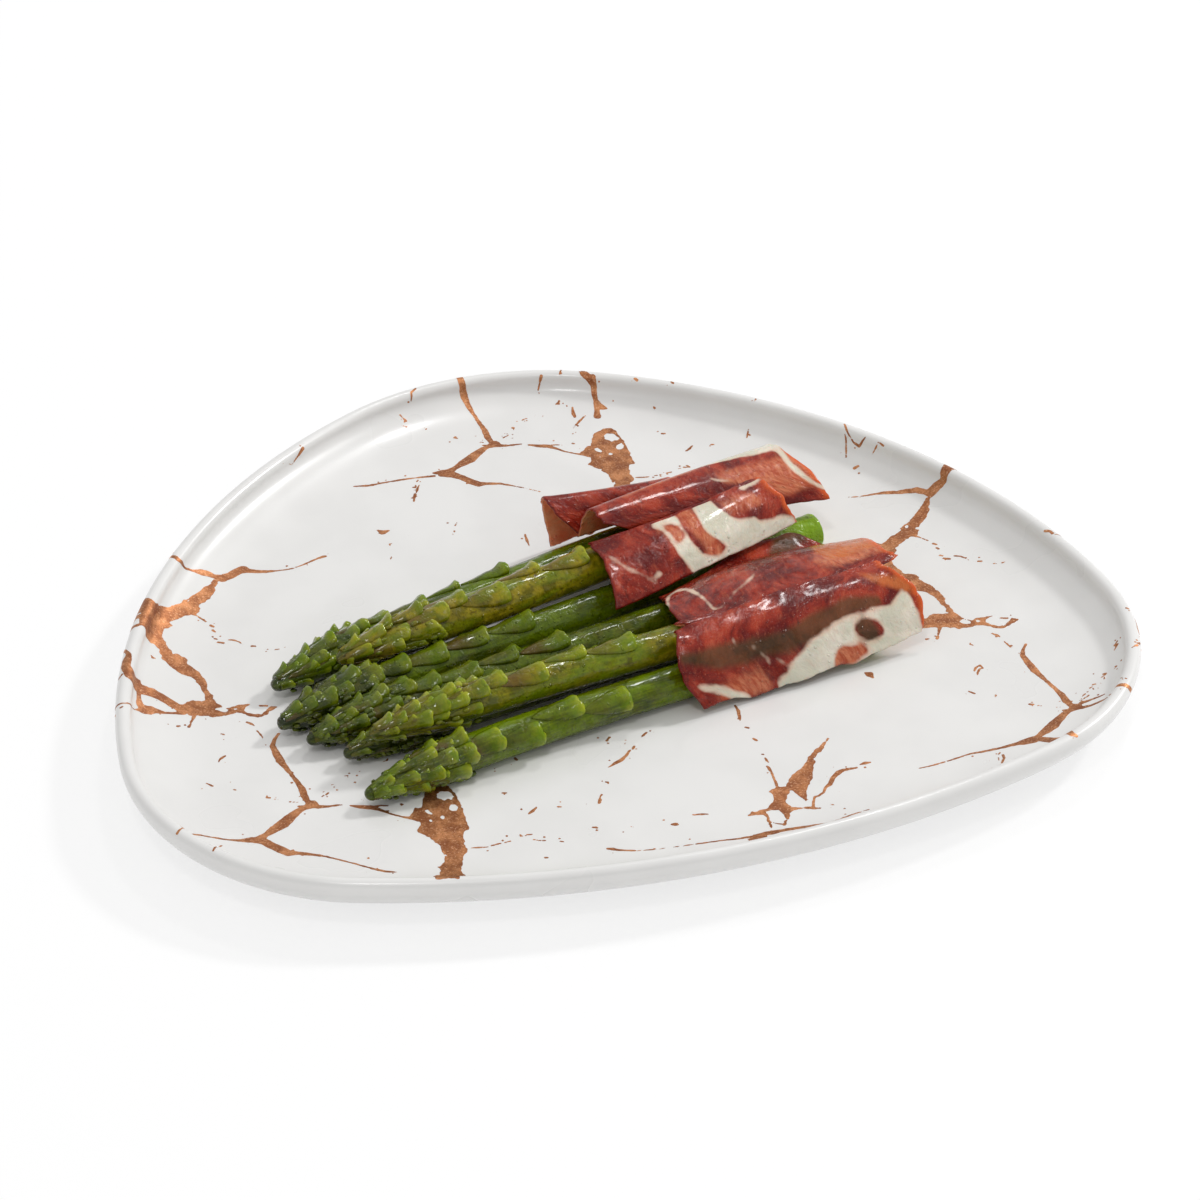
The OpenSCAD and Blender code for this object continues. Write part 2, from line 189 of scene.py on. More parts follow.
FORK_PATCHES = [("front", [[875, 323, 895, 315, 925, 311, 950, 320, 963, 346, 976, 362, 992, 402,
    1004, 440, 1009, 453, 989, 462, 987, 478, 992, 500, 1003, 520, 1001, 529, 990, 535, 985, 552,
    986, 572, 983, 590, 985, 600, 996, 604, 984, 616, 975, 637, 897, 640, 898, 625, 890, 607, 914, 603,
    915, 590, 908, 578, 925, 560, 926, 545, 918, 525, 910, 505, 893, 490, 880, 480, 858, 472, 838, 460,
    850, 442, 846, 432, 833, 424, 812, 418, 813, 408, 825, 398, 832, 385, 850, 383, 855, 360, 862, 338]])]
FORK_HOLES = [("front", [[905, 352, 900, 338, 916, 331, 935, 330, 948, 338, 957, 348, 950, 358, 938, 357,
    930, 363], [942, 388, 950, 375, 966, 370, 972, 380, 968, 394, 952, 397], [864, 394, 872, 391,
    890, 402, 888, 408, 874, 405], [877, 426, 882, 423, 889, 427, 884, 432], [914, 414, 920, 409,
    930, 416, 924, 422, 916, 420], [922, 538, 932, 534, 938, 542, 930, 546]])]
BRANCH_VEINS = [("left", [[600, 440, 10, 640, 455, 8, 670, 475, 8, 695, 490, 8], [725, 514, 12,
    742, 522, 10], [738, 543, 14, 750, 552, 10], [747, 592, 8, 762, 597, 6], [766, 614, 10, 800, 618, 10],
    [828, 598, 6, 870, 603, 8, 895, 612, 8, 918, 628, 4], [970, 637, 9, 992, 638, 8], [1062, 657, 5,
    1080, 658, 4], [1113, 658, 8, 1133, 655, 4], [192, 675, 14, 205, 685, 18, 215, 695, 20, 235, 725, 30,
    222, 760, 60, 215, 795, 60, 250, 840, 65, 285, 880, 75, 320, 900, 60, 370, 915, 50, 420, 940, 44,
    470, 970, 44, 520, 1000, 40, 560, 1015, 60], [290, 910, 36, 292, 950, 34, 300, 990, 44, 330, 1020, 56,
    370, 1020, 44, 410, 1028, 24, 450, 1038, 12, 520, 1040, 14, 560, 1035, 30], [120, 1026, 7,
    165, 1022, 8, 210, 1018, 8, 270, 1018, 8, 300, 1020, 30], [630, 1045, 24, 615, 1078, 16,
    606, 1095, 14], [604, 1105, 10, 592, 1122, 18], [525, 1118, 12, 540, 1117, 8], [372, 706, 8,
    390, 711, 8], [785, 1163, 6, 803, 1168, 6], [172, 860, 8, 186, 850, 8], [183, 1046, 8, 198, 1038, 8],
    [940, 1093, 9, 965, 1103, 14, 985, 1115, 5], [1000, 1143, 8, 1020, 1165, 12, 1040, 1192, 6],
    [1020, 995, 8, 1062, 996, 10]])]
BRANCH_PATCHES = [("left", [[755, 262, 725, 268, 700, 277, 665, 305, 640, 322, 610, 335, 590, 350,
    560, 362, 545, 377, 500, 392, 455, 402, 420, 398, 395, 399, 350, 384, 300, 378, 270, 382, 240, 392,
    200, 420, 150, 480, 120, 560, 160, 570, 215, 560, 250, 565, 285, 560, 320, 545, 335, 575, 350, 600,
    380, 625, 410, 650, 425, 680, 430, 712, 460, 735, 480, 760, 510, 780, 530, 800, 570, 810, 600, 820,
    620, 838, 640, 852, 660, 878, 675, 905, 692, 935, 693, 955, 740, 955, 728, 925, 710, 905, 705, 880,
    695, 850, 678, 825, 660, 800, 630, 775, 600, 757, 575, 735, 578, 720, 560, 700, 540, 690, 500, 685,
    485, 665, 470, 650, 455, 620, 438, 598, 434, 572, 436, 550, 460, 530, 492, 516, 478, 498, 500, 482,
    540, 466, 575, 456, 600, 446, 630, 448, 650, 432, 663, 412, 640, 402, 665, 385, 700, 362, 722, 348,
    740, 318, 750, 290], [545, 1003, 560, 990, 580, 975, 600, 966, 620, 963, 650, 968, 680, 970, 700, 960,
    715, 948, 740, 955, 752, 972, 770, 988, 800, 1002, 835, 1010, 860, 998, 890, 990, 930, 986, 972, 980,
    955, 990, 930, 1003, 925, 1020, 940, 1033, 975, 1045, 1030, 1043, 1050, 1030, 1062, 1015, 1085, 998,
    1105, 1000, 1127, 1003, 1100, 1018, 1075, 1030, 1065, 1048, 1040, 1052, 1010, 1065, 975, 1062,
    940, 1050, 900, 1038, 860, 1042, 820, 1052, 780, 1057, 740, 1062, 700, 1055, 660, 1052, 620, 1055,
    580, 1045, 545, 1035, 510, 1015], [740, 240, 790, 240, 760, 262, 755, 285, 730, 285, 700, 282,
    720, 262]])]
BRANCH_HOLES = [("left", [[255, 520, 280, 508, 300, 512, 300, 530, 298, 542, 275, 545, 250, 546],
    [255, 440, 268, 435, 278, 440, 262, 447], [275, 475, 305, 470, 308, 478, 285, 482], [575, 372,
    590, 358, 600, 362, 585, 378], [753, 1018, 768, 1010, 785, 1003, 810, 1008, 828, 1018, 822, 1030,
    800, 1033, 775, 1030], [860, 1015, 873, 1009, 886, 1014, 876, 1022, 864, 1021]])]
STAR_VEINS = [("front_right", [[905, 470, 14, 890, 430, 12, 875, 395, 12, 862, 375, 14], [845, 326, 6,
    853, 342, 12, 862, 350, 6], [829, 311, 6, 838, 312, 6], [788, 235, 8, 805, 245, 9], [750, 181, 8,
    765, 184, 7], [700, 75, 8, 716, 100, 16, 722, 130, 14, 726, 148, 8], [880, 640, 4, 910, 648, 5,
    940, 650, 6], [1080, 568, 14, 1080, 540, 12, 1085, 518, 10, 1105, 513, 8, 1130, 495, 12,
    1140, 470, 14, 1160, 455, 22, 1175, 425, 22, 1200, 400, 22, 1225, 388, 14, 1290, 376, 6],
    [1303, 362, 5, 1330, 354, 14, 1355, 350, 6], [1163, 554, 4, 1178, 556, 4], [97, 230, 5, 80, 246, 12],
    [170, 256, 5, 167, 262, 5], [293, 193, 4, 289, 197, 4], [276, 204, 6, 262, 215, 12, 249, 227, 5],
    [213, 272, 10, 206, 285, 10], [192, 292, 10, 172, 320, 14, 150, 340, 16, 125, 355, 10, 108, 362, 5],
    [98, 370, 5, 85, 376, 5], [72, 446, 4, 90, 446, 4], [54, 505, 4, 60, 505, 4], [52, 530, 8,
    42, 548, 12], [12, 665, 7, 30, 665, 7], [196, 662, 3, 210, 662, 3], [395, 650, 8, 412, 650, 16,
    425, 652, 5], [498, 605, 5, 535, 602, 9, 573, 600, 5]])]
STAR_PATCHES = [("front_right", [[868, 492, 880, 480, 895, 474, 905, 470, 945, 468, 958, 440, 975, 415,
    1010, 390, 1045, 350, 1055, 325, 1075, 305, 1100, 283, 1125, 258, 1152, 233, 1138, 260, 1120, 290,
    1085, 322, 1085, 350, 1078, 375, 1070, 400, 1075, 425, 1062, 455, 1055, 475, 1048, 500, 1045, 537,
    1025, 525, 1010, 510, 985, 488, 965, 485, 955, 505, 948, 535, 955, 555, 975, 568, 1020, 568,
    1060, 565, 1100, 567, 1133, 572, 1090, 577, 1040, 576, 985, 582, 968, 600, 958, 625, 948, 640,
    942, 660, 935, 650, 942, 625, 942, 605, 930, 590, 910, 581, 875, 582, 852, 590, 858, 612, 872, 630,
    878, 668, 866, 650, 852, 620, 842, 602, 800, 603, 765, 607, 785, 590, 820, 583, 855, 575, 868, 560,
    885, 535, 880, 510]])]
LONE_VEINS = [("front", [[262, 491, 8, 225, 489, 4, 180, 482, 4, 130, 473, 4, 95, 469, 6, 70, 474, 8,
    57, 486, 9], [300, 489, 18, 335, 493, 22, 365, 508, 24, 395, 522, 24, 418, 532, 20, 445, 532, 11,
    490, 536, 8, 540, 543, 5, 590, 555, 4, 640, 568, 4, 690, 582, 5, 735, 592, 7, 772, 594, 2]]),
    ("back", [[400, 485, 8, 330, 492, 4, 260, 502, 6, 200, 512, 4, 150, 522, 7, 90, 525, 3],
    [430, 480, 16, 470, 480, 22, 510, 492, 20, 545, 508, 22, 570, 516, 20, 600, 515, 10, 650, 514, 7,
    700, 522, 4, 750, 532, 3, 810, 546, 2], [925, 73, 3, 955, 84, 6, 972, 100, 14], [975, 112, 20,
    990, 120, 36, 1003, 128, 36, 1008, 150, 26, 1016, 175, 20, 1022, 195, 20, 1030, 215, 30,
    1048, 222, 20, 1066, 226, 3], [1028, 215, 30, 1026, 235, 18, 1028, 255, 30], [180, 693, 3,
    203, 702, 16, 225, 695, 6], [227, 747, 5, 231, 752, 5], [237, 795, 5, 232, 806, 5], [488, 663, 4,
    480, 676, 6], [478, 694, 5, 478, 700, 5], [750, 710, 8, 758, 735, 10, 765, 752, 4], [330, 172, 6,
    312, 185, 8, 308, 200, 4], [270, 288, 3, 295, 297, 6], [1370, 445, 3, 1378, 446, 3], [343, 520, 4,
    335, 538, 10, 330, 552, 5], [322, 566, 5, 314, 571, 5]]),
    ("right", [[870, 1285, 30, 840, 1292, 22, 800, 1302, 14, 740, 1318, 8, 660, 1335, 8, 600, 1345, 6,
    530, 1368, 5, 450, 1392, 5, 380, 1408, 3], [890, 1280, 20, 930, 1285, 22, 970, 1287, 22,
    1000, 1284, 26, 1030, 1288, 30, 1052, 1292, 10], [1075, 1128, 12, 1120, 1112, 6, 1175, 1090, 4],
    [1205, 1088, 4, 1235, 1080, 7, 1280, 1082, 6], [740, 1350, 10, 745, 1365, 12, 735, 1385, 6],
    [430, 225, 40, 455, 200, 40, 485, 165, 40, 510, 140, 36, 550, 138, 20, 600, 140, 4], [410, 225, 26,
    370, 215, 26, 330, 220, 20, 290, 225, 14, 230, 227, 12, 190, 232, 6, 130, 242, 4], [118, 243, 4,
    80, 246, 3]]),
    ("left", [[380, 135, 8, 410, 113, 6, 450, 118, 8, 490, 130, 16, 530, 150, 20, 570, 168, 14,
    620, 185, 14, 670, 195, 36, 710, 205, 32, 745, 220, 24, 790, 230, 44], [790, 230, 44, 840, 215, 44,
    885, 190, 42, 920, 178, 44, 950, 185, 26, 1000, 190, 18, 1060, 190, 16, 1110, 186, 8, 1170, 180, 6,
    1220, 170, 6, 1290, 145, 8, 1350, 118, 8, 1390, 103, 12, 1412, 98, 12]]),
    ("front_right", [[85, 768, 8, 110, 770, 14, 140, 775, 8, 230, 778, 5, 330, 770, 3, 430, 757, 3,
    530, 743, 5, 640, 728, 5, 720, 720, 7, 790, 708, 10, 850, 695, 18, 880, 690, 20, 920, 682, 14,
    1000, 668, 12, 1060, 660, 10, 1150, 645, 8, 1200, 630, 8, 1260, 605, 5, 1350, 578, 3]]),
    ("whole", [[303, 452, 3, 292, 462, 4, 283, 471, 2], [287, 442, 3, 284, 447, 2], [213, 496, 3,
    207, 500, 3], [190, 522, 3, 186, 526, 3], [174, 545, 2, 170, 549, 2]]),
    ("right", [[1303, 745, 8, 1308, 780, 24, 1316, 815, 18, 1320, 835, 8], [1265, 747, 6, 1276, 748, 6],
    [1230, 862, 5, 1217, 882, 7], [1316, 902, 8, 1306, 908, 9], [1300, 912, 5, 1290, 917, 5],
    [1222, 971, 4, 1230, 968, 4], [1170, 1004, 6, 1183, 1000, 5], [1125, 1049, 6, 1137, 1046, 5],
    [1109, 1074, 4, 1100, 1082, 4], [1094, 1088, 4, 1086, 1093, 4], [1250, 1042, 5, 1251, 1052, 5],
    [918, 414, 9, 940, 418, 11, 950, 430, 5], [963, 432, 4, 1000, 428, 7, 1050, 420, 8], [118, 113, 12,
    104, 122, 12], [180, 60, 6, 205, 50, 14, 228, 40, 8], [62, -20, 6, 68, 30, 10, 68, 75, 8],
    [60, -40, 8, 100, 0, 8, 125, 12, 12, 150, 26, 4], [150, 998, 8, 168, 1005, 26, 182, 1018, 8],
    [655, 978, 5, 640, 982, 7, 630, 998, 10, 632, 1008, 5]])]
LONE_PATCHES = [("front_right", [[765, 722, 790, 712, 860, 698, 858, 715, 852, 730, 835, 748, 800, 755,
    770, 758, 772, 742]])]

# Where the groups of the crackle lie: the same print comes back, shifted (mm).
BACK_SHIFT = (103.9, 168.2)
SIDE_SHIFT = (222.3, -24.0)
FORK_SHIFTS = [(0.0, 0.0), BACK_SHIFT, SIDE_SHIFT]
BRANCH_SHIFTS = [(0.0, 0.0), SIDE_SHIFT]
# The back crop shows the fork's copy that is shifted to the back.
FORK_CROP_SHIFTS = {"back": BACK_SHIFT}
# The least half-width of a vein (mm).
LEAST_VEIN = 0.12
# The crackle's grid: half its length and width and the size of a cell, how far the film stands above and
# under the glaze, and how far round the lip it ends (mm).
CRACKLE_REACH = (161, 142)
CRACKLE_CELL = 0.42
CRACKLE_RISE = 0.05
CRACKLE_SINK = 0.02
CRACKLE_END = -6.3


# Numbers and meshes.

def lattice(ix, iy, iz, seed):
    """A value from 0 to 1 at each whole-numbered point: its numbers are multiplied by large odd numbers,
    added, and their bits mixed."""
    h = (ix.astype(np.uint64) * np.uint64(0x9E3779B97F4A7C15)
         + iy.astype(np.uint64) * np.uint64(0xC2B2AE3D27D4EB4F)
         + iz.astype(np.uint64) * np.uint64(0x165667B19E3779F9) + np.uint64(seed * 7919 + 1))
    h ^= h >> np.uint64(31)
    h *= np.uint64(0xD6E8FEB86659FD93)
    h ^= h >> np.uint64(32)
    return (h >> np.uint64(40)).astype(float) / float(1 << 24)


def noise(p, seed=0):
    """Smooth noise from -1 to 1 at points p: the eight lattice values round a point, blended by the
    smooth step 6f^5 - 15f^4 + 10f^3 of its place between them."""
    p = np.asarray(p, float)
    cell = np.floor(p)
    f = p - cell
    f = f * f * f * (f * (f * 6 - 15) + 10)
    i = cell.astype(np.int64)
    out = 0.0
    for dx in (0, 1):
        for dy in (0, 1):
            for dz in (0, 1):
                w = (np.abs(1 - dx - f[..., 0]) * np.abs(1 - dy - f[..., 1]) * np.abs(1 - dz - f[..., 2]))
                out = out + w * lattice(i[..., 0] + dx, i[..., 1] + dy, i[..., 2] + dz, seed)
    return 2 * out - 1


def fractal(p, octaves=3, seed=0):
    """Noise at several scales, each half as wide and half as strong as the one before."""
    p = np.asarray(p, float)
    total = sum(noise(p * 2.0 ** k, seed + k) * 0.5 ** k for k in range(octaves))
    return total / sum(0.5 ** k for k in range(octaves))


def at(x, y, z=0.0):
    """Points from separate coordinates."""
    return np.stack(np.broadcast_arrays(x, y, z), -1).astype(float)


def unit(v):
    """Vectors brought to length 1."""
    return v / np.maximum(np.linalg.norm(v, axis=-1, keepdims=True), 1e-12)


def smooth(a, b, x):
    """0 below a, 1 above b, and 3t^2 - 2t^3 between."""
    t = np.clip((x - a) / (b - a), 0, 1)
    return t * t * (3 - 2 * t)


def grid_faces(rows, cols, wrap):
    """The quads of a grid of points; wrap joins the last column to the first."""
    i = np.arange(rows - 1)[:, None] * cols
    j = np.arange(cols if wrap else cols - 1)[None, :]
    k = (j + 1) % cols
    return np.stack([i + j, i + k, i + cols + k, i + cols + j], -1).reshape(-1, 4)


def fan_faces(pole, ring):
    """Triangles from a pole to each edge of a closed ring of points."""
    return np.stack([np.full(len(ring), pole), ring, np.roll(ring, -1)], -1)


def mesh_object(name, verts, faces, values=None, angle=None):
    """A smooth-shaded object in metres from points in mm, arrays of faces, and named values or vectors at
    its points; edges sharper than the angle (degrees) stay sharp."""
    me = bpy.data.meshes.new(name)
    me.vertices.add(len(verts))
    me.vertices.foreach_set("co", (np.asarray(verts, float) * MM).astype(np.float32).ravel())
    faces = [np.asarray(f, np.int32) for f in faces if len(f)]
    loops = np.concatenate([f.ravel() for f in faces])
    sizes = np.concatenate([np.full(len(f), f.shape[1]) for f in faces])
    me.loops.add(len(loops))
    me.loops.foreach_set("vertex_index", loops)
    me.polygons.add(len(sizes))
    me.polygons.foreach_set("loop_start", np.concatenate([[0], np.cumsum(sizes)[:-1]]).astype(np.int32))
    me.update(calc_edges=True)
    me.validate()
    me.shade_smooth()
    if angle is not None:
        me.set_sharp_from_angle(angle=np.radians(angle))
    for key, data in (values or {}).items():
        data = np.asarray(data, np.float32)
        kind, field = ("FLOAT_VECTOR", "vector") if data.ndim == 2 else ("FLOAT", "value")
        me.attributes.new(key, kind, "POINT").data.foreach_set(field, data.ravel())
    obj = bpy.data.objects.new(name, me)
    bpy.context.scene.collection.objects.link(obj)
    return obj


def polygon_depth(x, y, poly):
    """How far points are inside a polygon (negative outside): the least distance to its sides, with the
    sign from counting the sides that a ray to the right crosses."""
    q = np.asarray(poly, float)
    r = np.roll(q, -1, axis=0)
    best = np.full(np.shape(x), 1e9)
    inside = np.zeros(np.shape(x), bool)
    for (x0, y0), (x1, y1) in zip(q, r):
        dx, dy = x1 - x0, y1 - y0
        t = np.clip(((x - x0) * dx + (y - y0) * dy) / max(dx * dx + dy * dy, 1e-9), 0, 1)
        best = np.minimum(best, np.hypot(x - x0 - t * dx, y - y0 - t * dy))
        if dy:
            inside ^= ((y0 > y) != (y1 > y)) & (x < x0 + (y - y0) * dx / dy)
    return np.where(inside, best, -best)


def stroke_depth(x, y, stroke):
    """How far points are inside a brush stroke: for each of its pieces, the width there less the distance."""
    best = np.full(np.shape(x), -1e9)
    for (x0, y0, w0), (x1, y1, w1) in zip(stroke[:-1], stroke[1:]):
        dx, dy = x1 - x0, y1 - y0
        t = np.clip(((x - x0) * dx + (y - y0) * dy) / max(dx * dx + dy * dy, 1e-9), 0, 1)
        best = np.maximum(best, w0 + (w1 - w0) * t - np.hypot(x - x0 - t * dx, y - y0 - t * dy))
    return best


def triples(flat):
    """A flat row of numbers as rows of three."""
    return np.asarray(flat, float).reshape(-1, 3)


def pairs(flat):
    """A flat row of numbers as rows of two."""
    return np.asarray(flat, float).reshape(-1, 2)


# The plate.

def rim_section(steps_up, steps_round):
    """Inset and height along the rim, from the well's edge up the quarter ellipse and round the lip."""
    a = np.radians(np.linspace(0, 90, steps_up))
    b = np.radians(np.linspace(0, 180, steps_round))[1:]
    inset = np.concatenate([RIM_W - (RIM_W - 2 * LIP_R) * np.sin(a), LIP_R + LIP_R * np.cos(b)])
    z = np.concatenate([WELL_Z + (LIP_Z - WELL_Z) * (1 - np.cos(a)), LIP_Z + LIP_R * np.sin(b)])
    return inset, z


def rim_curve():
    """The length run along the rim's section, with its inset and height there."""
    inset, z = rim_section(61, 61)
    run = np.concatenate([[0], np.cumsum(np.hypot(np.diff(inset), np.diff(z)))])
    return run, inset, z


def outline(count):
    """Points spaced evenly round the outline, each as its arc's centre and radius and its direction."""
    lengths = np.array([r * np.radians(b - a) for _, _, r, a, b in ARCS])
    rows = []
    for (cx, cy, r, a, b), n in zip(ARCS, np.round(lengths / lengths.sum() * count).astype(int)):
        w = np.radians(a + (b - a) * np.arange(n) / n)
        rows.append(np.stack([np.full(n, cx), np.full(n, cy), np.full(n, r), np.cos(w), np.sin(w)], -1))
    return np.concatenate(rows)


def make_plate():
    """The plate: rings of the outline set in by the section's inset at the section's height, and fans of
    scaled rings to the middle of the well and of the underside."""
    ring = outline(480)
    a = np.radians(np.linspace(0, 90, 25))[1:]
    under = np.stack([UNDER_W * (1 - np.cos(a)), LIP_Z - (LIP_Z - BASE_Z) * np.sin(a)], -1)
    section = np.concatenate([np.stack(rim_section(25, 17), -1), under, FOOT])
    rings = np.stack([at(ring[:, 0] + (ring[:, 2] - inset) * ring[:, 3],
                         ring[:, 1] + (ring[:, 2] - inset) * ring[:, 4], z) for inset, z in section])
    share = np.linspace(0, 1, 13)[1:-1, None, None] ** 0.9
    top = rings[0] * [1, 1, 0] * share + [0, 0, WELL_Z]
    low = rings[-1] * [1, 1, 0] * share[::-2] + [0, 0, BASE_Z]
    grid = np.concatenate([top, rings, low])
    n = len(ring)
    verts = np.concatenate([grid.reshape(-1, 3), [[0, 0, WELL_Z], [0, 0, BASE_Z]]])
    last = len(grid) * n
    faces = [grid_faces(len(grid), n, True)[:, ::-1], fan_faces(last, np.arange(n)),
             fan_faces(last + 1, np.arange(n) + last - n)[:, ::-1]]
    return mesh_object("plate_body", verts, faces, {"bare": smooth(0.55, 0.2, verts[:, 2])})


def inset_at(x, y):
    """How far points are inside the outline and the direction out, from the arc whose sector they are in."""
    best = np.full(np.shape(x), 1e9)
    out = np.zeros(np.shape(x) + (3,))
    for cx, cy, r, a, b in ARCS:
        w = np.degrees(np.arctan2(y - cy, x - cx))
        w = np.where(w < a - 1e-6, w + 360, w)
        d = np.hypot(x - cx, y - cy)
        use = (w <= b + 1e-6) & (r - d < best)
        best = np.where(use, r - d, best)
        far = np.maximum(d, 1e-9)
        row = np.stack([(x - cx) / far, (y - cy) / far, np.zeros(np.shape(x))], -1)
        out = np.where(use[..., None], row, out)
    return best, out


def laid_out(x, y):
    """Points seen from above, moved to where they come when the curved rim is laid out flat: the inset
    becomes the well's inset less the length of the rim's curve."""
    inset, out = inset_at(x, y)
    run, curve_inset, _ = rim_curve()
    flat = RIM_W - np.interp(-inset, -curve_inset, run)
    flat = np.where(inset > RIM_W, inset, flat)
    flat = np.where(inset < 0, RIM_W - run[-1] + inset, flat)
    return x + out[..., 0] * (inset - flat), y + out[..., 1] * (inset - flat)


def on_plate(x, y, rise):
    """Laid-out points put back on the plate's curved top, raised along its normal."""
    inset, out = inset_at(x, y)
    run, curve_inset, curve_z = rim_curve()
    s = np.clip(RIM_W - inset, 0, run[-1])
    ci, cz = np.interp(s, run, curve_inset), np.interp(s, run, curve_z)
    e = 0.05
    di = np.interp(s + e, run, curve_inset) - np.interp(s - e, run, curve_inset)
    dz = np.interp(s + e, run, curve_z) - np.interp(s - e, run, curve_z)
    n = np.hypot(di, dz)
    rim = inset < RIM_W
    shift = np.where(rim, inset - ci, 0.0)
    up = np.where(rim, -di / n, 1.0) * rise
    side = np.where(rim, -dz / n, 0.0) * rise
    return np.stack([x + out[..., 0] * (shift + side), y + out[..., 1] * (shift + side),
                     np.where(rim, cz, WELL_Z) + up], -1)


def on_level(px, z):
    """Where the camera's rays through pixels meet the level z above the well: a pixel's height gives how far
    ahead, that gives the depth, and its side times the depth gives how far across; both are then turned
    with the camera about the point that it looks at."""
    s, c = np.sin(np.radians(PHOTO_STEEP)), np.cos(np.radians(PHOTO_STEEP))
    right, down = px[:, 0] - PHOTO_MIDDLE, px[:, 1] - PHOTO_MIDDLE
    ahead = -(down * (PHOTO_AWAY - z * s) + PHOTO_FOCUS * z * c) / (down * c + PHOTO_FOCUS * s)
    across = right * (PHOTO_AWAY + ahead * c - z * s) / PHOTO_FOCUS
    t = np.radians(PHOTO_TURN)
    return np.stack([across * np.cos(t) + ahead * np.sin(t) + PHOTO_AIM[0],
                     ahead * np.cos(t) - across * np.sin(t) + PHOTO_AIM[1]], -1)


def seen_on_plate(px):
    """Where pixels lie on the plate's top: the rays are met at a height, and the height is moved most of the
    way to the quarter ellipse of the rim there, until the two agree."""
    z = np.zeros(len(px))
    for _ in range(HEIGHT_ROUNDS):
        p = on_level(px, z)
        up = np.clip((RIM_W - inset_at(p[:, 0], p[:, 1])[0]) / (RIM_W - 2 * LIP_R), 0, 1)
        z = z + HEIGHT_STEP * ((LIP_Z - WELL_Z) * (1 - np.sqrt(1 - up * up)) - z)
    return p


def drawn_patches(groups):
    """Patches or holes as x and y on the plate (mm)."""
    out = []
    for crop, rows in groups:
        left, top, zoom = CROPS[crop]
        out += [seen_on_plate(pairs(row) / zoom + [left, top]) for row in rows]
    return out


def drawn_veins(groups, crop_shifts):
    """Veins as x, y and half-width on the plate (mm): half a width is laid off to both sides of each point
    and put on the plate with it, and a shifted copy is moved back to its group."""
    out = []
    for crop, rows in groups:
        left, top, zoom = CROPS[crop]
        for row in rows:
            p = triples(row) / zoom
            line = p[:, :2] + [left, top]
            t = unit(np.gradient(line, axis=0))
            side = np.stack([-t[:, 1], t[:, 0]], -1) * p[:, 2:] / 2
            one, other, middle = np.split(seen_on_plate(np.concatenate([line + side, line - side, line])), 3)
            t = unit(np.gradient(middle, axis=0))
            half = np.abs(((one - other) * np.stack([-t[:, 1], t[:, 0]], -1)).sum(1)) / 2
            middle = middle - crop_shifts.get(crop, (0.0, 0.0))
            out.append(np.column_stack([middle, np.maximum(half, LEAST_VEIN)]))
    return out


def crackle_field():
    """The crackle's depth on a grid laid out flat: the greatest depth in any vein or patch less the holes,
    roughened by noise, with flecks beside the veins."""
    gx = np.arange(-CRACKLE_REACH[0], CRACKLE_REACH[0], CRACKLE_CELL)
    gy = np.arange(-CRACKLE_REACH[1], CRACKLE_REACH[1], CRACKLE_CELL)
    field = np.full((len(gy), len(gx)), -9.0)

    def window(px, py, margin):
        j0, j1 = np.searchsorted(gx, [px.min() - margin, px.max() + margin])
        i0, i1 = np.searchsorted(gy, [py.min() - margin, py.max() + margin])
        return slice(i0, i1), slice(j0, j1)

    def stamp(px, py, depth_of, margin, hole=False):
        w = window(px, py, margin)
        if field[w].size:
            x, y = np.meshgrid(gx[w[1]], gy[w[0]])
            d = depth_of(x, y)
            field[w] = np.minimum(field[w], -d) if hole else np.maximum(field[w], d)

    def rough(x, y, size, amount):
        return amount * fractal(at(x / size, y / size), 2, 31)

    def patches(rows, shift, hole=False):
        for p in rows:
            px, py = laid_out(p[:, 0] + shift[0], p[:, 1] + shift[1])
            sides = np.stack([px, py], -1)
            stamp(px, py, lambda x, y: polygon_depth(x, y, sides) + rough(x, y, 1.3, 0.5), 1.5, hole)

    specks = np.random.default_rng(7)

    def veins(rows, shift):
        for p in rows:
            px, py = laid_out(p[:, 0] + shift[0], p[:, 1] + shift[1])
            for k in range(len(p) - 1):
                line = [(px[k], py[k], p[k, 2]), (px[k + 1], py[k + 1], p[k + 1, 2])]
                stamp(px[k:k + 2], py[k:k + 2],
                      lambda x, y: stroke_depth(x, y, line) + rough(x, y, 1.0, 0.16), 2.0)
            n = max(1, len(p) // 2)
            pick = specks.integers(0, len(p), n)
            away = specks.normal(0, 1.6, (n, 2))
            size = specks.uniform(0.16, 0.42, n)
            for k in range(n):
                cx, cy = px[pick[k]] + away[k, 0], py[pick[k]] + away[k, 1]
                stamp(np.array([cx]), np.array([cy]), lambda x, y: size[k] - np.hypot(x - cx, y - cy), 1.0)

    for vein_rows, patch_rows, hole_rows, crop_shifts, shifts in (
            (FORK_VEINS, FORK_PATCHES, FORK_HOLES, FORK_CROP_SHIFTS, FORK_SHIFTS),
            (BRANCH_VEINS, BRANCH_PATCHES, BRANCH_HOLES, {}, BRANCH_SHIFTS),
            (STAR_VEINS, STAR_PATCHES, [], {}, [(0.0, 0.0)]),
            (LONE_VEINS, LONE_PATCHES, [], {}, [(0.0, 0.0)])):
        drawn = drawn_patches(patch_rows), drawn_patches(hole_rows), drawn_veins(vein_rows, crop_shifts)
        for shift in shifts:
            patches(drawn[0], shift)
            patches(drawn[1], shift, hole=True)
            veins(drawn[2], shift)
    x, y = np.meshgrid(gx, gy)
    inset, _ = inset_at(x, y)
    return gx, gy, np.minimum(field, inset - CRACKLE_END)


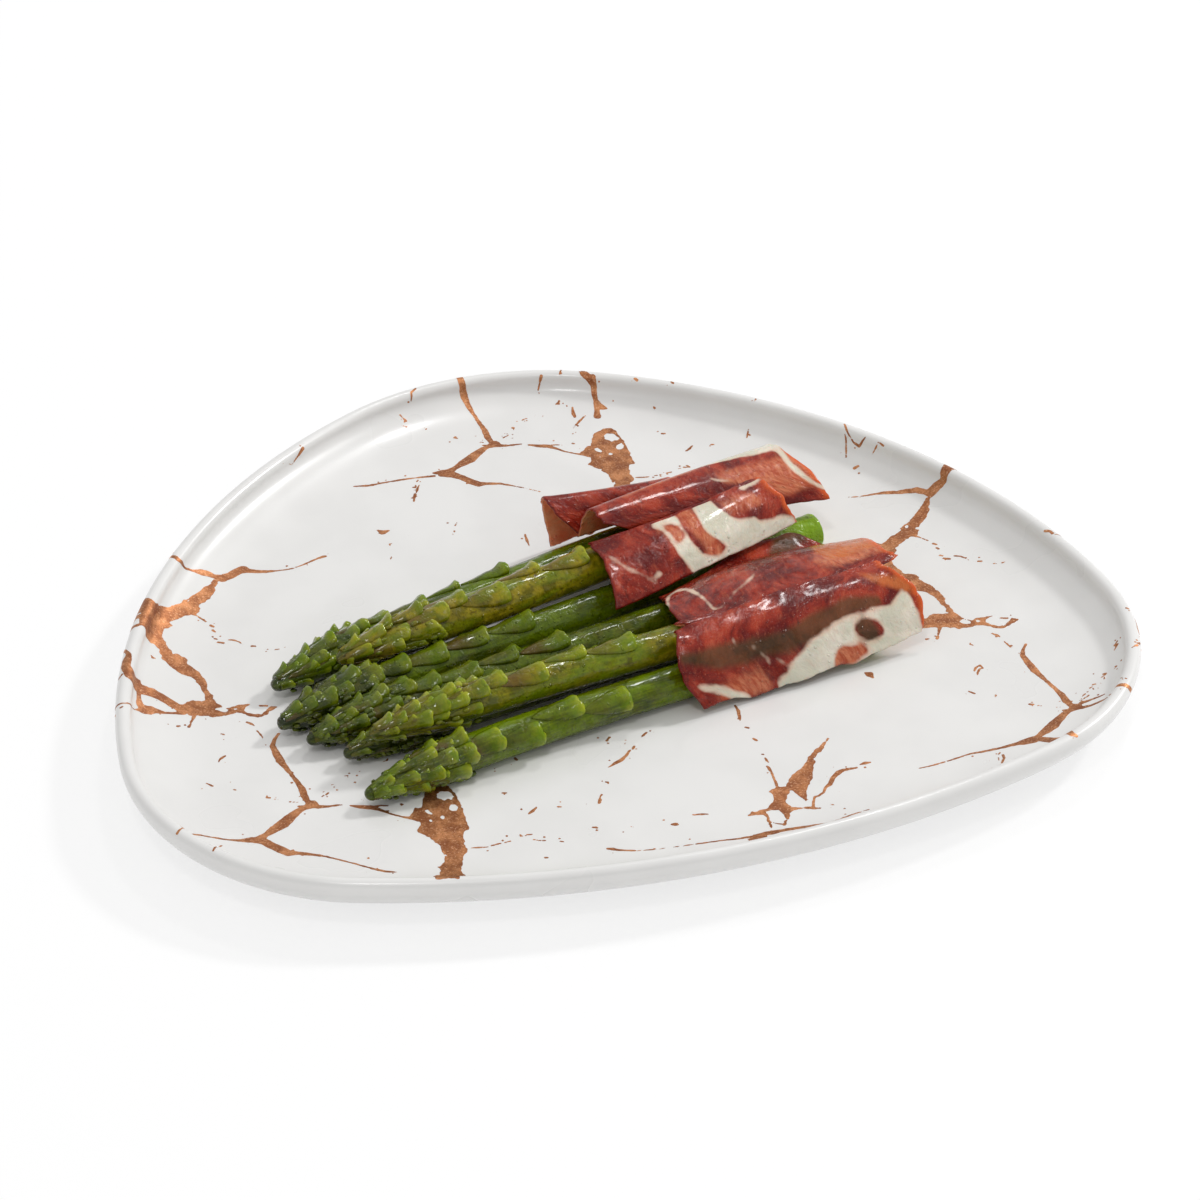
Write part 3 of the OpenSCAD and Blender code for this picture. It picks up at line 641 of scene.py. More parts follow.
# The corners (0 to 3) and side crossings (4 to 7) of a cell's piece, for each set of corners inside.
CELL_PIECES = {1: [(0, 4, 7)], 2: [(1, 5, 4)], 3: [(0, 1, 5, 7)], 4: [(2, 6, 5)], 5: [(0, 4, 7), (2, 6, 5)],
               6: [(1, 2, 6, 4)], 7: [(0, 1, 2, 6, 7)], 8: [(3, 7, 6)], 9: [(0, 4, 6, 3)],
               10: [(1, 5, 4), (3, 7, 6)], 11: [(0, 1, 5, 6, 3)], 12: [(2, 3, 7, 5)], 13: [(0, 4, 5, 2, 3)],
               14: [(1, 2, 3, 7, 4)], 15: [(0, 1, 2, 3)]}


def make_crackle():
    """The copper crackle: a thin film on the plate. Each grid cell keeps the part where the field is above
    zero, cut where the field crosses zero along its sides, and gets a top, an underside and edge walls."""
    gx, gy, f = crackle_field()
    rows, cols = f.shape
    inside = f > 0
    x, y = np.meshgrid(gx, gy)

    def crossing(f0, f1):
        return np.clip(f0 / np.where(f0 == f1, 1, f0 - f1), 0.08, 0.92)

    tx = crossing(f[:, :-1], f[:, 1:])
    ty = crossing(f[:-1, :], f[1:, :])
    px = np.concatenate([x.ravel(), (x[:, :-1] + tx * CRACKLE_CELL).ravel(), x[:-1, :].ravel()])
    py = np.concatenate([y.ravel(), y[:, :-1].ravel(), (y[:-1, :] + ty * CRACKLE_CELL).ravel()])
    corner = np.arange(rows * cols).reshape(rows, cols)
    along = np.arange(rows * (cols - 1)).reshape(rows, cols - 1) + corner.size
    up = np.arange((rows - 1) * cols).reshape(rows - 1, cols) + corner.size + along.size
    spots = [corner[:-1, :-1], corner[:-1, 1:], corner[1:, 1:], corner[1:, :-1],
             along[:-1, :], up[:, 1:], along[1:, :], up[:, :-1]]
    code = (inside[:-1, :-1] * 1 + inside[:-1, 1:] * 2 + inside[1:, 1:] * 4 + inside[1:, :-1] * 8)
    tops, cuts = {3: [], 4: [], 5: []}, []
    for case, shapes in CELL_PIECES.items():
        here = code == case
        if not here.any():
            continue
        for shape in shapes:
            poly = np.stack([spots[s][here] for s in shape], -1)
            tops[len(shape)].append(poly)
            for k, s in enumerate(shape):
                m = (k + 1) % len(shape)
                if s > 3 and shape[m] > 3:
                    cuts.append(poly[:, [k, m]])
    tops = [np.concatenate(t) for t in tops.values() if t]
    cuts = np.concatenate(cuts)
    used = np.unique(np.concatenate([t.ravel() for t in tops]))
    number = np.full(len(px), -1)
    number[used] = np.arange(len(used))
    tops = [number[t] for t in tops]
    cuts = number[cuts]
    n = len(used)
    px, py = px[used], py[used]
    verts = np.concatenate([on_plate(px, py, CRACKLE_RISE), on_plate(px, py, -CRACKLE_SINK)])
    walls = np.stack([cuts[:, 1], cuts[:, 0], cuts[:, 0] + n, cuts[:, 1] + n], -1)
    faces = tops + [t[:, ::-1] + n for t in tops] + [walls]
    return mesh_object("copper_crackle", verts, faces, angle=40)


# The spears.

def to_plate(p):
    """Points of the bundle's own frame put on the plate: turned about Z and moved to the bundle's place."""
    t = np.radians(BUNDLE_TURN)
    x = BUNDLE_AT[0] + p[..., 0] * np.cos(t) - p[..., 1] * np.sin(t)
    y = BUNDLE_AT[1] + p[..., 0] * np.sin(t) + p[..., 1] * np.cos(t)
    return np.stack([x, y, BUNDLE_AT[2] + p[..., 2]], -1)


def chord(s):
    """A spear's chord: the place of its tip, the direction to its butt, and its length."""
    tip = np.array([s.tip_along * SPEAR_LEN, s.tip_across * SPEAR_D])
    butt = np.array([s.butt_along * SPEAR_LEN, s.butt_across * SPEAR_D])
    n = np.hypot((s.butt_along - s.tip_along) * SPEAR_LEN, (s.butt_across - s.tip_across) * SPEAR_D)
    return tip, (butt - tip) / n, n


def stalk_radius(s):
    """The radius of a spear's stalk."""
    return s.size * SPEAR_D / 2


def spear_axis(s, x):
    """A spear's middle line: its chord with a parabolic sideways bow, its lift mixed from tip to butt, and
    the narrow head let down onto what it lies on."""
    tip, d, n = chord(s)
    t = np.clip(x / n, 0, 1)
    bow = 4 * s.bow * SPEAR_D * t * (1 - t)
    head = np.clip(1 - x / HEAD_LEN, 0, 1)
    lift = (s.tip_lift + (s.butt_lift - s.tip_lift) * t) * SPEAR_D
    z = UNDER_FOOD + lift + stalk_radius(s) * (1 - TIP_SHARE * head ** 2)
    return at(tip[0] + d[0] * x - d[1] * bow, tip[1] + d[1] * x + d[0] * bow, z)


def spear_radius(s, x):
    """A spear's radius: full along the stalk, a power of a sine over the head, and a round nose."""
    r = stalk_radius(s)
    head = np.clip(1 - x / HEAD_LEN, 0, 1)
    body = r * (TIP_SHARE + (1 - TIP_SHARE) * np.maximum(np.sin(np.pi / 2 * (1 - head)), 0) ** 0.8)
    nose = r * TIP_SHARE
    return np.where(x < 0, nose * np.sqrt(np.clip(1 - (x / nose) ** 2, 0, 1)), body)


def nose_length(s):
    """How far a drawn head's round nose stands out beyond the chord's start."""
    return spear_radius(s, np.array(HEAD_BACK)) * NOSE_SHARE


def skin_radius(s, x):
    """The radius that the skin is drawn with: the spear's own, with the head filled out a little."""
    head = np.clip(1 - np.maximum(x, 0) / HEAD_LEN, 0, 1)
    fuller = HEAD_FULLER[SPEARS.index(s)] * np.sin(np.pi * head ** 0.8)
    full = spear_radius(s, np.maximum(x, 0) + HEAD_BACK * head) + fuller
    return np.where(x < 0, full * np.sqrt(np.clip(1 - (x / nose_length(s)) ** 2, 0, 1)), full)


def round_spear(s, x, turn, out):
    """Points round a spear: at x along it, turned from its top towards the front, and out from its middle."""
    p = spear_axis(s, x)
    d = unit(spear_axis(s, x + 0.5) - spear_axis(s, x - 0.5))
    side = unit(np.stack([-d[..., 1], d[..., 0], np.zeros(np.shape(x))], -1))
    up = np.cross(d, side)
    return p + out[..., None] * (np.cos(turn)[..., None] * up - np.sin(turn)[..., None] * side)


def kept_apart(which, x, turn, out):
    """How far out points may be: half-way to the skin of each other spear, less a hair, and above the
    plate."""
    s = SPEARS[which]
    own = spear_radius(s, np.maximum(x, 0))
    for _ in range(3):
        p = round_spear(s, x, turn, out)
        for k, other in enumerate(SPEARS):
            if k == which:
                continue
            tip, d, n = chord(other)
            along = np.clip((p[..., :2] - tip) @ d, -1.0, n)
            gap = np.linalg.norm(p - spear_axis(other, along), axis=-1) - spear_radius(other, along)
            over = out - own - gap + BETWEEN_SPEARS
            out = np.where((over > 0) & (out > own * 0.5), out - over * 0.5, out)
        low = round_spear(s, x, turn, out)[..., 2]
        steep = np.maximum(-np.cos(turn), 0.35)
        out = np.where((low < OFF_PLATE) & (out > own * 0.5), out - (OFF_PLATE - low) / steep, out)
    return out


def stalk(which):
    """A spear's stalk: rings of its radius, with fine lengthwise ribs, slow lumps, a grainy head and a
    rounded cut end. Gives its points and faces, where each point is along and round the spear, and which
    of them are flesh."""
    s = SPEARS[which]
    n = chord(s)[2]
    nose = nose_length(s)
    x = np.concatenate([-nose * np.cos(np.linspace(0.1, np.pi / 2, 8)), np.linspace(0, HEAD_LEN, 60)[1:],
                        np.linspace(HEAD_LEN, n - CUT_ROUND, 190)[1:]])
    turns = 2 * np.pi * np.arange(STALK_SIDES) / STALK_SIDES
    xx, tt = np.meshgrid(x, turns, indexing="ij")
    body = skin_radius(s, xx)
    lump = fractal(at(xx / 9, np.cos(tt) * 1.3, np.sin(tt) * 1.3) + which * 17, 3, 3)
    wave = tt + 0.25 * noise(at(xx / 25, 0.0, which))
    wander = 2 * noise(at(xx / 30, np.cos(tt), np.sin(tt)), 5)
    ribs = 0.5 * np.cos(wave * 17 + wander) + 0.5 * np.cos(wave * 29)
    full = smooth(HEAD_LEN * 0.5, HEAD_LEN, xx)
    grainy = fractal(at(xx / 2.2, body * np.cos(tt) / 2.2, body * np.sin(tt) / 2.2) + which * 5, 3, 60)
    out = body * (1 + 0.035 * lump * full - 0.02) + 0.05 * ribs * full + 0.45 * grainy * (1 - full)
    out = kept_apart(which, xx, tt, out)
    end = [round_spear(s, np.full(STALK_SIDES, n - CUT_ROUND + beyond), turns, out[-1] * share)
           for beyond, share in CUT_RINGS]
    rings = np.concatenate([round_spear(s, xx, tt, out), end])
    middle = np.array([0.0])
    tip = round_spear(s, np.array([-nose]), middle, middle)
    butt = round_spear(s, np.array([n - 0.2]), middle, middle)
    verts = np.concatenate([rings.reshape(-1, 3), tip, butt])
    last = len(rings) * STALK_SIDES
    ring = np.arange(STALK_SIDES)
    faces = [grid_faces(len(rings), STALK_SIDES, True), fan_faces(last, ring)[:, ::-1],
             fan_faces(last + 1, ring + last - STALK_SIDES)]
    beyond = len(CUT_RINGS) * STALK_SIDES
    xs = np.concatenate([xx.ravel(), np.full(beyond, n), [-nose, n]])
    ts = np.concatenate([tt.ravel(), np.tile(turns, len(CUT_RINGS)), [0, 0]])
    flesh = np.zeros(len(verts))
    flesh[-1] = 1
    flesh[-2 - 3 * STALK_SIDES:-2] = 1
    return verts, faces, xs, ts, flesh


def tube_faces(count, rows, cols):
    """The faces of many closed tubes: quads between the rings of each, and fans to its two poles, which
    come in pairs after the rings of all."""
    start = np.arange(count)[:, None, None] * rows * cols
    ring = np.arange(cols)
    fan = np.stack([np.zeros(cols, int), np.roll(ring, -1), ring], -1)[None]
    poles = count * rows * cols + 2 * np.arange(count)[:, None]
    first = fan + start
    first[:, :, 0] = poles
    last = fan[:, :, [0, 2, 1]] + start + (rows - 1) * cols
    last[:, :, 0] = poles + 1
    quads = grid_faces(rows, cols, True)[None] + start
    return quads.reshape(-1, 4), first.reshape(-1, 3), last.reshape(-1, 3)


def swing(k):
    """Where the k-th leaf lies on the side that is seen, from -1 to 1, by the golden turn."""
    return 2 * ((k * GOLDEN_TURN / 360) % 1) - 1


def scale_rows(which, rng):
    """Where a spear's scales sit: the source's own stalk and head scales, and between them smaller ones on a
    spiral of golden angles; rows of root, turn, size, half-width, rise and looks."""
    s = SPEARS[which]
    r = stalk_radius(s)
    lean, spread = np.radians(s.lean), np.radians(s.spread)
    rows = []
    for k in range(1, 5):
        rows.append((HEAD_LEN + 9 * k ** 1.25, spread * swing(k) - lean, 16.0, r * 0.66, 1.9, rng.random()))
    for k in range(1, 13):
        size = 15 * (0.45 + 0.30 * k / 12)
        root = 2.3 * k + size / 2 + rng.normal(0, 0.8)
        turn = (spread + np.radians(40)) * swing(k) - lean + rng.normal(0, 0.12)
        size = size * rng.uniform(1.25, 1.7)
        half = r * (0.30 + 0.18 * k / 12) * rng.uniform(0.85, 1.25)
        rise = (1.35 + 1.0 * k / 12) * rng.uniform(0.75, 1.25)
        rows.append((root, turn, size, half, rise, rng.random()))
    for k in range(24):
        t = k / 24
        size = (7.5 + 6.0 * t) * rng.uniform(0.8, 1.25)
        root = 4.5 + 29 * t ** 0.9 + rng.normal(0, 1.0)
        turn = np.radians(GOLDEN_TURN) * (k + 0.5) + rng.normal(0, 0.35)
        half = r * (0.20 + 0.12 * t) * rng.uniform(0.85, 1.25)
        rise = (0.8 + 0.45 * t) * rng.uniform(0.7, 1.3)
        rows.append((root, turn, size, half, rise, rng.random()))
    return np.array(rows)


def scales(which, rng):
    """Scale leaves as closed tongues: a flat oval profile carried from the blunt raised root towards the
    tip; its half-width rises fast and ends in a point, its height falls from the root, and its underside is
    sunk in the stalk. Gives points and faces, where each point is along and round the spear and along its
    scale, each scale's looks, and how much painted shade a point gets, most where it lies low in a crevice."""
    s = SPEARS[which]
    rows = scale_rows(which, rng)
    a = np.concatenate([[0.004, 0.014, 0.03, 0.055, 0.09], np.linspace(0.14, 0.95, 13), [0.975, 0.99]])
    turn = 2 * np.pi * np.arange(16) / 16
    root, roll, size, half, rise, look = [rows[:, k, None, None] for k in range(6)]
    aa, bb = a[None, :, None], turn[None, None, :]
    cross, up = np.cos(bb), np.sin(bb)
    narrowed = np.clip(1 - np.clip((aa - 0.1) / 0.9, 0, 1) ** 2.2, 0, 1) ** 0.8
    wide = half * np.minimum(1, (aa + 1e-6) / 0.07) ** 0.40 * narrowed
    wide = wide * (0.94 + 0.12 * np.sin(np.pi * np.clip(aa / 0.6, 0, 1)))
    tall = rise * np.minimum(1, (aa + 1e-6) / 0.05) ** 0.55 * (0.20 + 0.80 * (1 - aa) ** 1.1)
    tall = tall * (1 + 0.30 * np.exp(-((aa - 0.08) / 0.08) ** 2) - 0.20 * np.exp(-((aa - 0.30) / 0.12) ** 2))
    creases = noise(at(aa * 5 + look * 50, cross * 1.6, 0.0 * aa), 9)
    ridge = 1 + 0.08 * np.cos(cross * 9 + look * 30) + 0.22 * creases
    high = np.where(up > 0, tall * np.abs(up) ** 0.6 * ridge, -0.75 * np.abs(up) + 0 * tall)
    high = high - SCALE_SUNK
    bend = 0.10 * size * (look - 0.5) * aa ** 2
    uneven = np.sin(look * 60) * cross + 0.5 * noise(at(look * 40, cross * 2, 0.0 * aa), 12)
    slant = 0.07 * size * uneven * np.exp(-aa / 0.12)
    x = np.maximum(root - size * aa + slant + 0 * bb, -0.6)
    skin = skin_radius(s, x)
    angle = roll + (wide * cross + bend) / np.maximum(skin, 2.0)
    out = kept_apart(which, x, angle, skin + high) - 0.1 * np.clip(-up, 0, 1)
    grid = round_spear(s, x, angle, np.maximum(out, 0.15))
    poles = grid.mean(axis=2)[:, [0, -1]]
    verts = np.concatenate([grid.reshape(-1, 3), poles.reshape(-1, 3)])

    def with_poles(v):
        v = np.broadcast_to(v, x.shape)
        return np.concatenate([v.ravel(), v[:, [0, -1], 0].ravel()])

    # Painted shade: the lower a point lies on its scale, the darker it is painted, as if it lay in the shade
    # of a crevice.
    crevice_shade = np.clip(1.15 - (high + SCALE_SUNK) / (0.55 * tall + 0.12), 0, 1)
    return verts, list(tube_faces(*x.shape)), [with_poles(v) for v in (x, angle, aa, look, crevice_shade)]


def buds(which, rng, count):
    """The small buds between a head's scales: little ovals, longer along the spear, half sunk in it. Gives
    points and faces, where each point is along and round the spear, each bud's looks, and how much painted
    shade a point gets, most low on the bud."""
    s = SPEARS[which]
    t = (np.arange(count) + 0.5) / count
    middle = 1.0 + (HEAD_LEN - 2) * t ** 0.8 + rng.normal(0, 0.8, count)
    roll = (np.radians(GOLDEN_TURN) * np.arange(count) + rng.normal(0, 0.3, count))[:, None]
    size = rng.uniform(0.55, 0.95 + 0.35 * SPEAR_LOOKS[which][1], count) * (0.65 + 0.45 * t)
    lat = np.linspace(0, np.pi, 7)[1:-1]
    lon = 2 * np.pi * np.arange(8) / 8
    x = middle[:, None, None] + (-np.cos(lat)[None, :, None] * size[:, None, None] * BUD_LONG + 0 * lon)
    across = np.sin(lat)[None, :, None] * np.cos(lon) * size[:, None, None]
    high = np.sin(lat)[None, :, None] * np.sin(lon) * size[:, None, None]
    skin = skin_radius(s, x)
    angle = roll[:, :, None] + across / np.maximum(skin, 1.2)
    out = kept_apart(which, x, angle, skin + high + BUD_RISE)
    grid = round_spear(s, x, angle, np.maximum(out - 0.1 * np.clip(-high, 0, 1), 0.1))
    ends = np.stack([middle - size * BUD_LONG, middle + size * BUD_LONG], -1)
    roll = roll + 0 * ends
    out = np.maximum(kept_apart(which, ends, roll, skin_radius(s, ends) + BUD_RISE), 0.1)
    verts = np.concatenate([grid.reshape(-1, 3), round_spear(s, ends, roll, out).reshape(-1, 3)])
    quads, first, last = tube_faces(*x.shape)
    faces = [quads[:, ::-1], first[:, [0, 2, 1]], last[:, [0, 2, 1]]]
    look = rng.random(count)
    looks = np.concatenate([np.repeat(look, len(lat) * len(lon)), np.repeat(look, 2)])
    # Painted shade: the lower side of each bud is painted darker.
    crevice_shade = np.clip(0.75 - high / size[:, None, None], 0, 1)
    along = np.concatenate([x.ravel(), ends.ravel()])
    turns = np.concatenate([angle.ravel(), roll.ravel()])
    return verts, faces, [along, turns, looks, np.concatenate([crevice_shade.ravel(), np.full(2 * count, 0.5)])]


def make_spear(which):
    """One spear: stalk, scales and buds in one mesh, with its straightened place, and values that say what
    is scale, how near its raised root, how olive and how dark the skin is, and how much painted crevice shade
    it gets."""
    rng = np.random.default_rng(100 + which)
    s = SPEARS[which]
    r = stalk_radius(s)
    olive, dark, bud_count = SPEAR_LOOKS[which]
    stalk_verts, stalk_faces, stalk_x, stalk_turn, flesh = stalk(which)
    scale_verts, scale_faces, (scale_x, scale_turn, toward, scale_look, scale_crevice_shade) = scales(which, rng)
    bud_verts, bud_faces, (bud_x, bud_turn, bud_look, bud_crevice_shade) = buds(which, rng, bud_count)
    n1, n2, n3 = len(stalk_verts), len(scale_verts), len(bud_verts)
    verts = to_plate(np.concatenate([stalk_verts, scale_verts, bud_verts]))
    faces = stalk_faces + [f + n1 for f in scale_faces] + [f + n1 + n2 for f in bud_faces]
    x, turn = np.concatenate([stalk_x, scale_x, bud_x]), np.concatenate([stalk_turn, scale_turn, bud_turn])
    head = 1 - smooth(HEAD_LEN * 0.6, HEAD_LEN * 1.3, x)
    # Painted shade in the crevices: on the stalk under the head between its scales, and on the low parts of
    # scales and buds.
    crevice_shade = [0.85 * head[:n1], scale_crevice_shade * (0.35 + 0.65 * head[n1:n1 + n2]), bud_crevice_shade]
    values = {"straight": np.stack([x, r * np.sin(turn), r * np.cos(turn)], -1) * MM + which * 0.3,
              "leaf": np.concatenate([np.zeros(n1), np.ones(n2), np.full(n3, 0.5)]),
              "toward": np.concatenate([np.zeros(n1), toward, np.full(n3, 0.35)]),
              "look": np.concatenate([np.full(n1, 0.5), scale_look, bud_look]), "head": head,
              "crevice_shade": np.concatenate(crevice_shade), "olive": np.full(len(verts), olive),
              "dark": np.full(len(verts), dark), "flesh": np.concatenate([flesh, np.zeros(n2 + n3)]),
              "butt": smooth(chord(s)[2] - 20, chord(s)[2] - 6, x)}
    return mesh_object("spear_%d_cooked" % (which + 1), verts, faces, values)


# The ham.

def bent(p, t):
    """The parabola through three points at t = 0, a half and 1."""
    p = np.asarray(p, float)
    t = np.asarray(t)[..., None]
    return p[0] + (p[2] - p[0]) * t + 4 * (p[1] - (p[0] + p[2]) / 2) * t * (1 - t)


def draped(h, u, v):
    """A slice's underside: at each u from left to right an arc of an ellipse runs from the crest (v = 0)
    down to the back edge (v = -1) and the front edge (v = 1)."""
    u, v = np.broadcast_arrays(np.asarray(u, float), np.asarray(v, float))
    crest = np.array(h.crest) * [SPEAR_LEN, SPEAR_D, SPEAR_D]
    p = bent(crest, u)
    edge = np.where((v < 0)[..., None], bent(h.back, u), bent(h.front, u)) * SPEAR_D
    w = np.abs(v)
    d = crest[2] - crest[0]
    along = d[:2] / np.hypot(*d[:2])
    across = np.sign(v)[..., None] * np.array([along[1], -along[0]])
    full = np.radians(DRAPE_TURN)
    over = edge[..., 0] * np.sin(full * w) / np.sin(full)
    drop = (p[..., 2] - edge[..., 1]) * (1 - np.cos(full * w)) / (1 - np.cos(full))
    k = h.askew
    swell = np.where(v > 0, (2 * u - 1) * k.swell * np.sin(np.pi * w), 0)
    slide = np.where(v < 0, k.back_left + (k.back_right - k.back_left) * u,
                     k.front_left + (k.front_right - k.front_left) * u)
    run = SPEAR_LEN * (swell + w ** 2 * slide)
    q = p[..., :2] + across * over[..., None] + along * run[..., None]
    return np.concatenate([q, (UNDER_FOOD + p[..., 2] - drop)[..., None]], -1)


def wide_draped(h, u, v):
    """The fourth slice: as draped, but its back side runs on over the third spear. Along the back the height
    is the ellipse's or a low line on the spears' tops, whichever is higher, blended by log(e^a + e^b)."""
    front = draped(h, u, v)
    u, v = np.broadcast_arrays(np.asarray(u, float), np.asarray(v, float))
    points = np.array(h.crest) * [SPEAR_LEN, SPEAR_D, SPEAR_D]
    crest = bent(points, u)
    top = crest[..., 2] / SPEAR_D
    edge = bent(h.back, u)
    d = points[2] - points[0]
    along = d[:2] / np.hypot(*d[:2])
    across = np.array([-along[1], along[0]])
    reach = sum(np.interp(u + k, *BACK_REACH) for k in (-0.02, -0.01, 0, 0.01, 0.02)) / 5
    level = np.interp(u, *BACK_LEVEL)
    away = -v * reach
    inside = np.clip(away / edge[..., 0], 0, 1)
    full = np.radians(DRAPE_TURN)
    turn = np.arcsin(inside * np.sin(full))
    drop = (top - edge[..., 1]) * (1 - np.cos(turn)) / (1 - np.cos(full))
    drop = drop + np.clip(away - edge[..., 0], 0, None) * 1.3
    settled = smooth(edge[..., 0] - 0.6, np.maximum(reach, edge[..., 0] + 0.01), away)
    low = edge[..., 1] + (level - edge[..., 1]) * settled
    k = 0.05
    z = top - drop
    z = np.maximum(z, low) + k * np.log1p(np.exp(-np.abs(z - low) / k)) * smooth(0, 0.5, away)
    run = SPEAR_LEN * inside ** 2 * (h.askew.back_left + (h.askew.back_right - h.askew.back_left) * u)
    back = crest[..., :2] + across * (away * SPEAR_D)[..., None] + along * run[..., None]
    back = np.concatenate([back, (UNDER_FOOD + z * SPEAR_D)[..., None]], -1)
    return np.where((v < 0)[..., None], back, front)


# How far the fourth slice's back side reaches, and how high its back edge lies (u, thicknesses of a spear).
BACK_REACH = ([0, 0.1, 0.2, 0.3, 0.4, 0.5, 0.6, 0.745, 0.775, 0.795, 0.83, 0.88, 1.0],
              [2.1, 2.25, 2.4, 2.6, 2.8, 3.0, 3.05, 3.02, 2.72, 2.35, 2.15, 2.03, 1.80])
BACK_LEVEL = ([0, 0.3, 0.45, 0.76, 0.80, 0.86, 1.0], [0.97, 1.0, 1.07, 1.07, 0.98, 0.80, 0.52])

# What shows on each slice, in its own u and v: outlines of the fat, islands of lean without fat, strokes of
# fat (u, v, half-width in mm), places where what lies beneath shows through, amber places, and places where
# the lean is thin and rosy; the second slice's second rosy stroke, along its crest, is a painted sheen.
FAT = [
    [],
    [[0.48, -0.28, 0.60, -0.38, 0.75, -0.42, 0.90, -0.36, 1.0, -0.25, 1.0, 0.04,
      0.90, 0.07, 0.80, 0.04, 0.70, -0.02, 0.60, -0.12, 0.54, -0.16],
     [0.945, 0.02, 0.925, 0.20, 0.905, 0.35, 0.905, 0.50, 0.925, 0.66, 0.97, 0.82, 0.995, 0.80, 0.955, 0.65,
      0.94, 0.50, 0.94, 0.35, 0.96, 0.18, 0.985, 0.02]],
    [[0.31, 0.03, 0.335, 0.12, 0.35, 0.3, 0.35, 0.42, 0.355, 0.6, 0.37, 0.75, 0.39, 0.95, 0.40, 1.05,
      0.96, 1.05, 0.97, 0.85, 0.93, 0.75, 0.89, 0.74, 0.845, 0.71, 0.80, 0.68, 0.785, 0.57, 0.74, 0.53,
      0.70, 0.5, 0.685, 0.42, 0.67, 0.28, 0.66, 0.10, 0.66, -0.05, 0.55, -0.05, 0.33, -0.05],
     [0.84, -0.03, 0.98, -0.03, 0.98, 0.07, 0.84, 0.08], [0.17, 0.73, 0.24, 0.71, 0.25, 0.76, 0.18, 0.79]],
    [],
    [[0.31, 1.05, 0.33, 0.9, 0.385, 0.83, 0.43, 0.73, 0.475, 0.67, 0.53, 0.60, 0.59, 0.57, 0.635, 0.53,
      0.675, 0.51, 0.735, 0.50, 0.78, 0.52, 0.83, 0.52, 0.87, 0.52, 0.91, 0.44, 0.935, 0.38, 0.95, 0.5,
      0.955, 0.63, 0.97, 0.78, 0.985, 0.9, 1.01, 1.05]]]
LEAN = [
    [], [],
    [[0.362, 0.08, 0.40, 0.10, 0.425, 0.2, 0.425, 0.36, 0.40, 0.43, 0.37, 0.40, 0.37, 0.25],
     [0.46, -0.1, 0.55, -0.1, 0.55, 0.05, 0.53, 0.22, 0.525, 0.40, 0.535, 0.55, 0.56, 0.68, 0.585, 0.80,
      0.55, 0.87, 0.50, 0.83, 0.46, 0.73, 0.44, 0.52, 0.445, 0.33, 0.45, 0.15]],
    [],
    [[0.69, 0.68, 0.695, 0.62, 0.72, 0.585, 0.75, 0.59, 0.775, 0.64, 0.80, 0.70, 0.81, 0.77, 0.795, 0.82,
      0.765, 0.83, 0.735, 0.80, 0.70, 0.74],
     [0.595, 0.83, 0.63, 0.79, 0.69, 0.81, 0.73, 0.87, 0.73, 0.93, 0.67, 0.97, 0.60, 0.97, 0.575, 0.95]]]
VEINS = [
    [],
    [[0.55, 0.22, 0.25, 0.58, 0.30, 0.4, 0.62, 0.38, 0.2]],
    [[0.05, 0.2, 0.25, 0.12, 0.5, 0.35, 0.22, 0.85, 0.2]],
    [[0.02, -0.35, 0.7, 0.05, -0.65, 0.8, 0.10, -0.75, 0.8, 0.15, -0.6, 0.8, 0.18, -0.4, 0.7, 0.19, -0.2, 0.6,
      0.185, 0.0, 0.5],
     [0.47, -0.4, 0.3, 0.42, -0.3, 0.35, 0.34, -0.2, 0.3, 0.28, -0.1, 0.3, 0.19, 0.02, 0.35]],
    [[0.05, 0.75, 0.6, 0.11, 0.82, 0.9, 0.155, 0.93, 1.1, 0.19, 1.0, 1.2],
     [0.30, 0.5, 0.35, 0.32, 0.6, 0.4, 0.33, 0.7, 0.3], [0.36, 0.68, 0.3, 0.38, 0.74, 0.45],
     [0.24, 0.36, 0.3, 0.245, 0.46, 0.25]]]
THIN = [
    [],
    [],
    [],
    [[0.60, -0.72, 1.6, 0.67, -0.83, 2.8, 0.75, -0.93, 2.2]],
    [[0.04, 0.4, 1.4, 0.15, 0.5, 1.9, 0.25, 0.52, 2.1, 0.39, 0.55, 2.1, 0.49, 0.55, 2.0, 0.60, 0.47, 1.9,
      0.72, 0.42, 1.6, 0.82, 0.46, 1.0], [0.725, 0.66, 2.4, 0.76, 0.80, 2.4]]]
AMBER = [
    [],
    [[0.97, 0.1, 1.2, 1.0, 0.8, 1.6]],
    [],
    [[0.82, -0.5, 6.0, 0.95, -0.5, 6.0]],
    [[0.87, 0.15, 1.6, 0.95, 0.35, 2.4]]]
ROSY = [
    [[0.1, -0.2, 1.5, 0.9, -0.2, 1.5]],
    [[0.62, 0.30, 2.5, 0.80, 0.50, 5.5, 0.97, 0.45, 5.0],
     # Painted sheen: a lighter band along this slice's crest.
     [0.18, -0.06, 0.7, 0.36, -0.12, 1.3, 0.52, -0.14, 1.6]],
    [[0.36, 0.10, 2.0, 0.40, 0.40, 2.0], [0.50, 0.10, 2.5, 0.52, 0.80, 2.5],
     [0.70, 0.25, 1.5, 0.85, 0.30, 1.5]],
    [[0.75, -0.2, 3.0, 0.95, -0.3, 5.0]],
    [[0.60, 0.90, 2.5, 0.71, 0.90, 2.5], [0.10, 0.90, 1.0, 0.28, 0.85, 2.0]]]
# A painted value is a depth inside its places, kept within this (mm).
PAINT_DEPTH = 3.0


def softened(a, times):
    """A grid of values averaged with its neighbours the given number of times."""
    for _ in range(times):
        b = np.pad(a, 1, mode="edge")
        a = (4 * a + b[:-2, 1:-1] + b[2:, 1:-1] + b[1:-1, :-2] + b[1:-1, 2:]) / 8
    return a


def worn_edge(t, which, place, seed):
    """How much of an edge is eaten in, from 0 to 1, at places along it."""
    return 0.5 + 0.5 * fractal(at(t, which * 9.0, place), 3, seed)


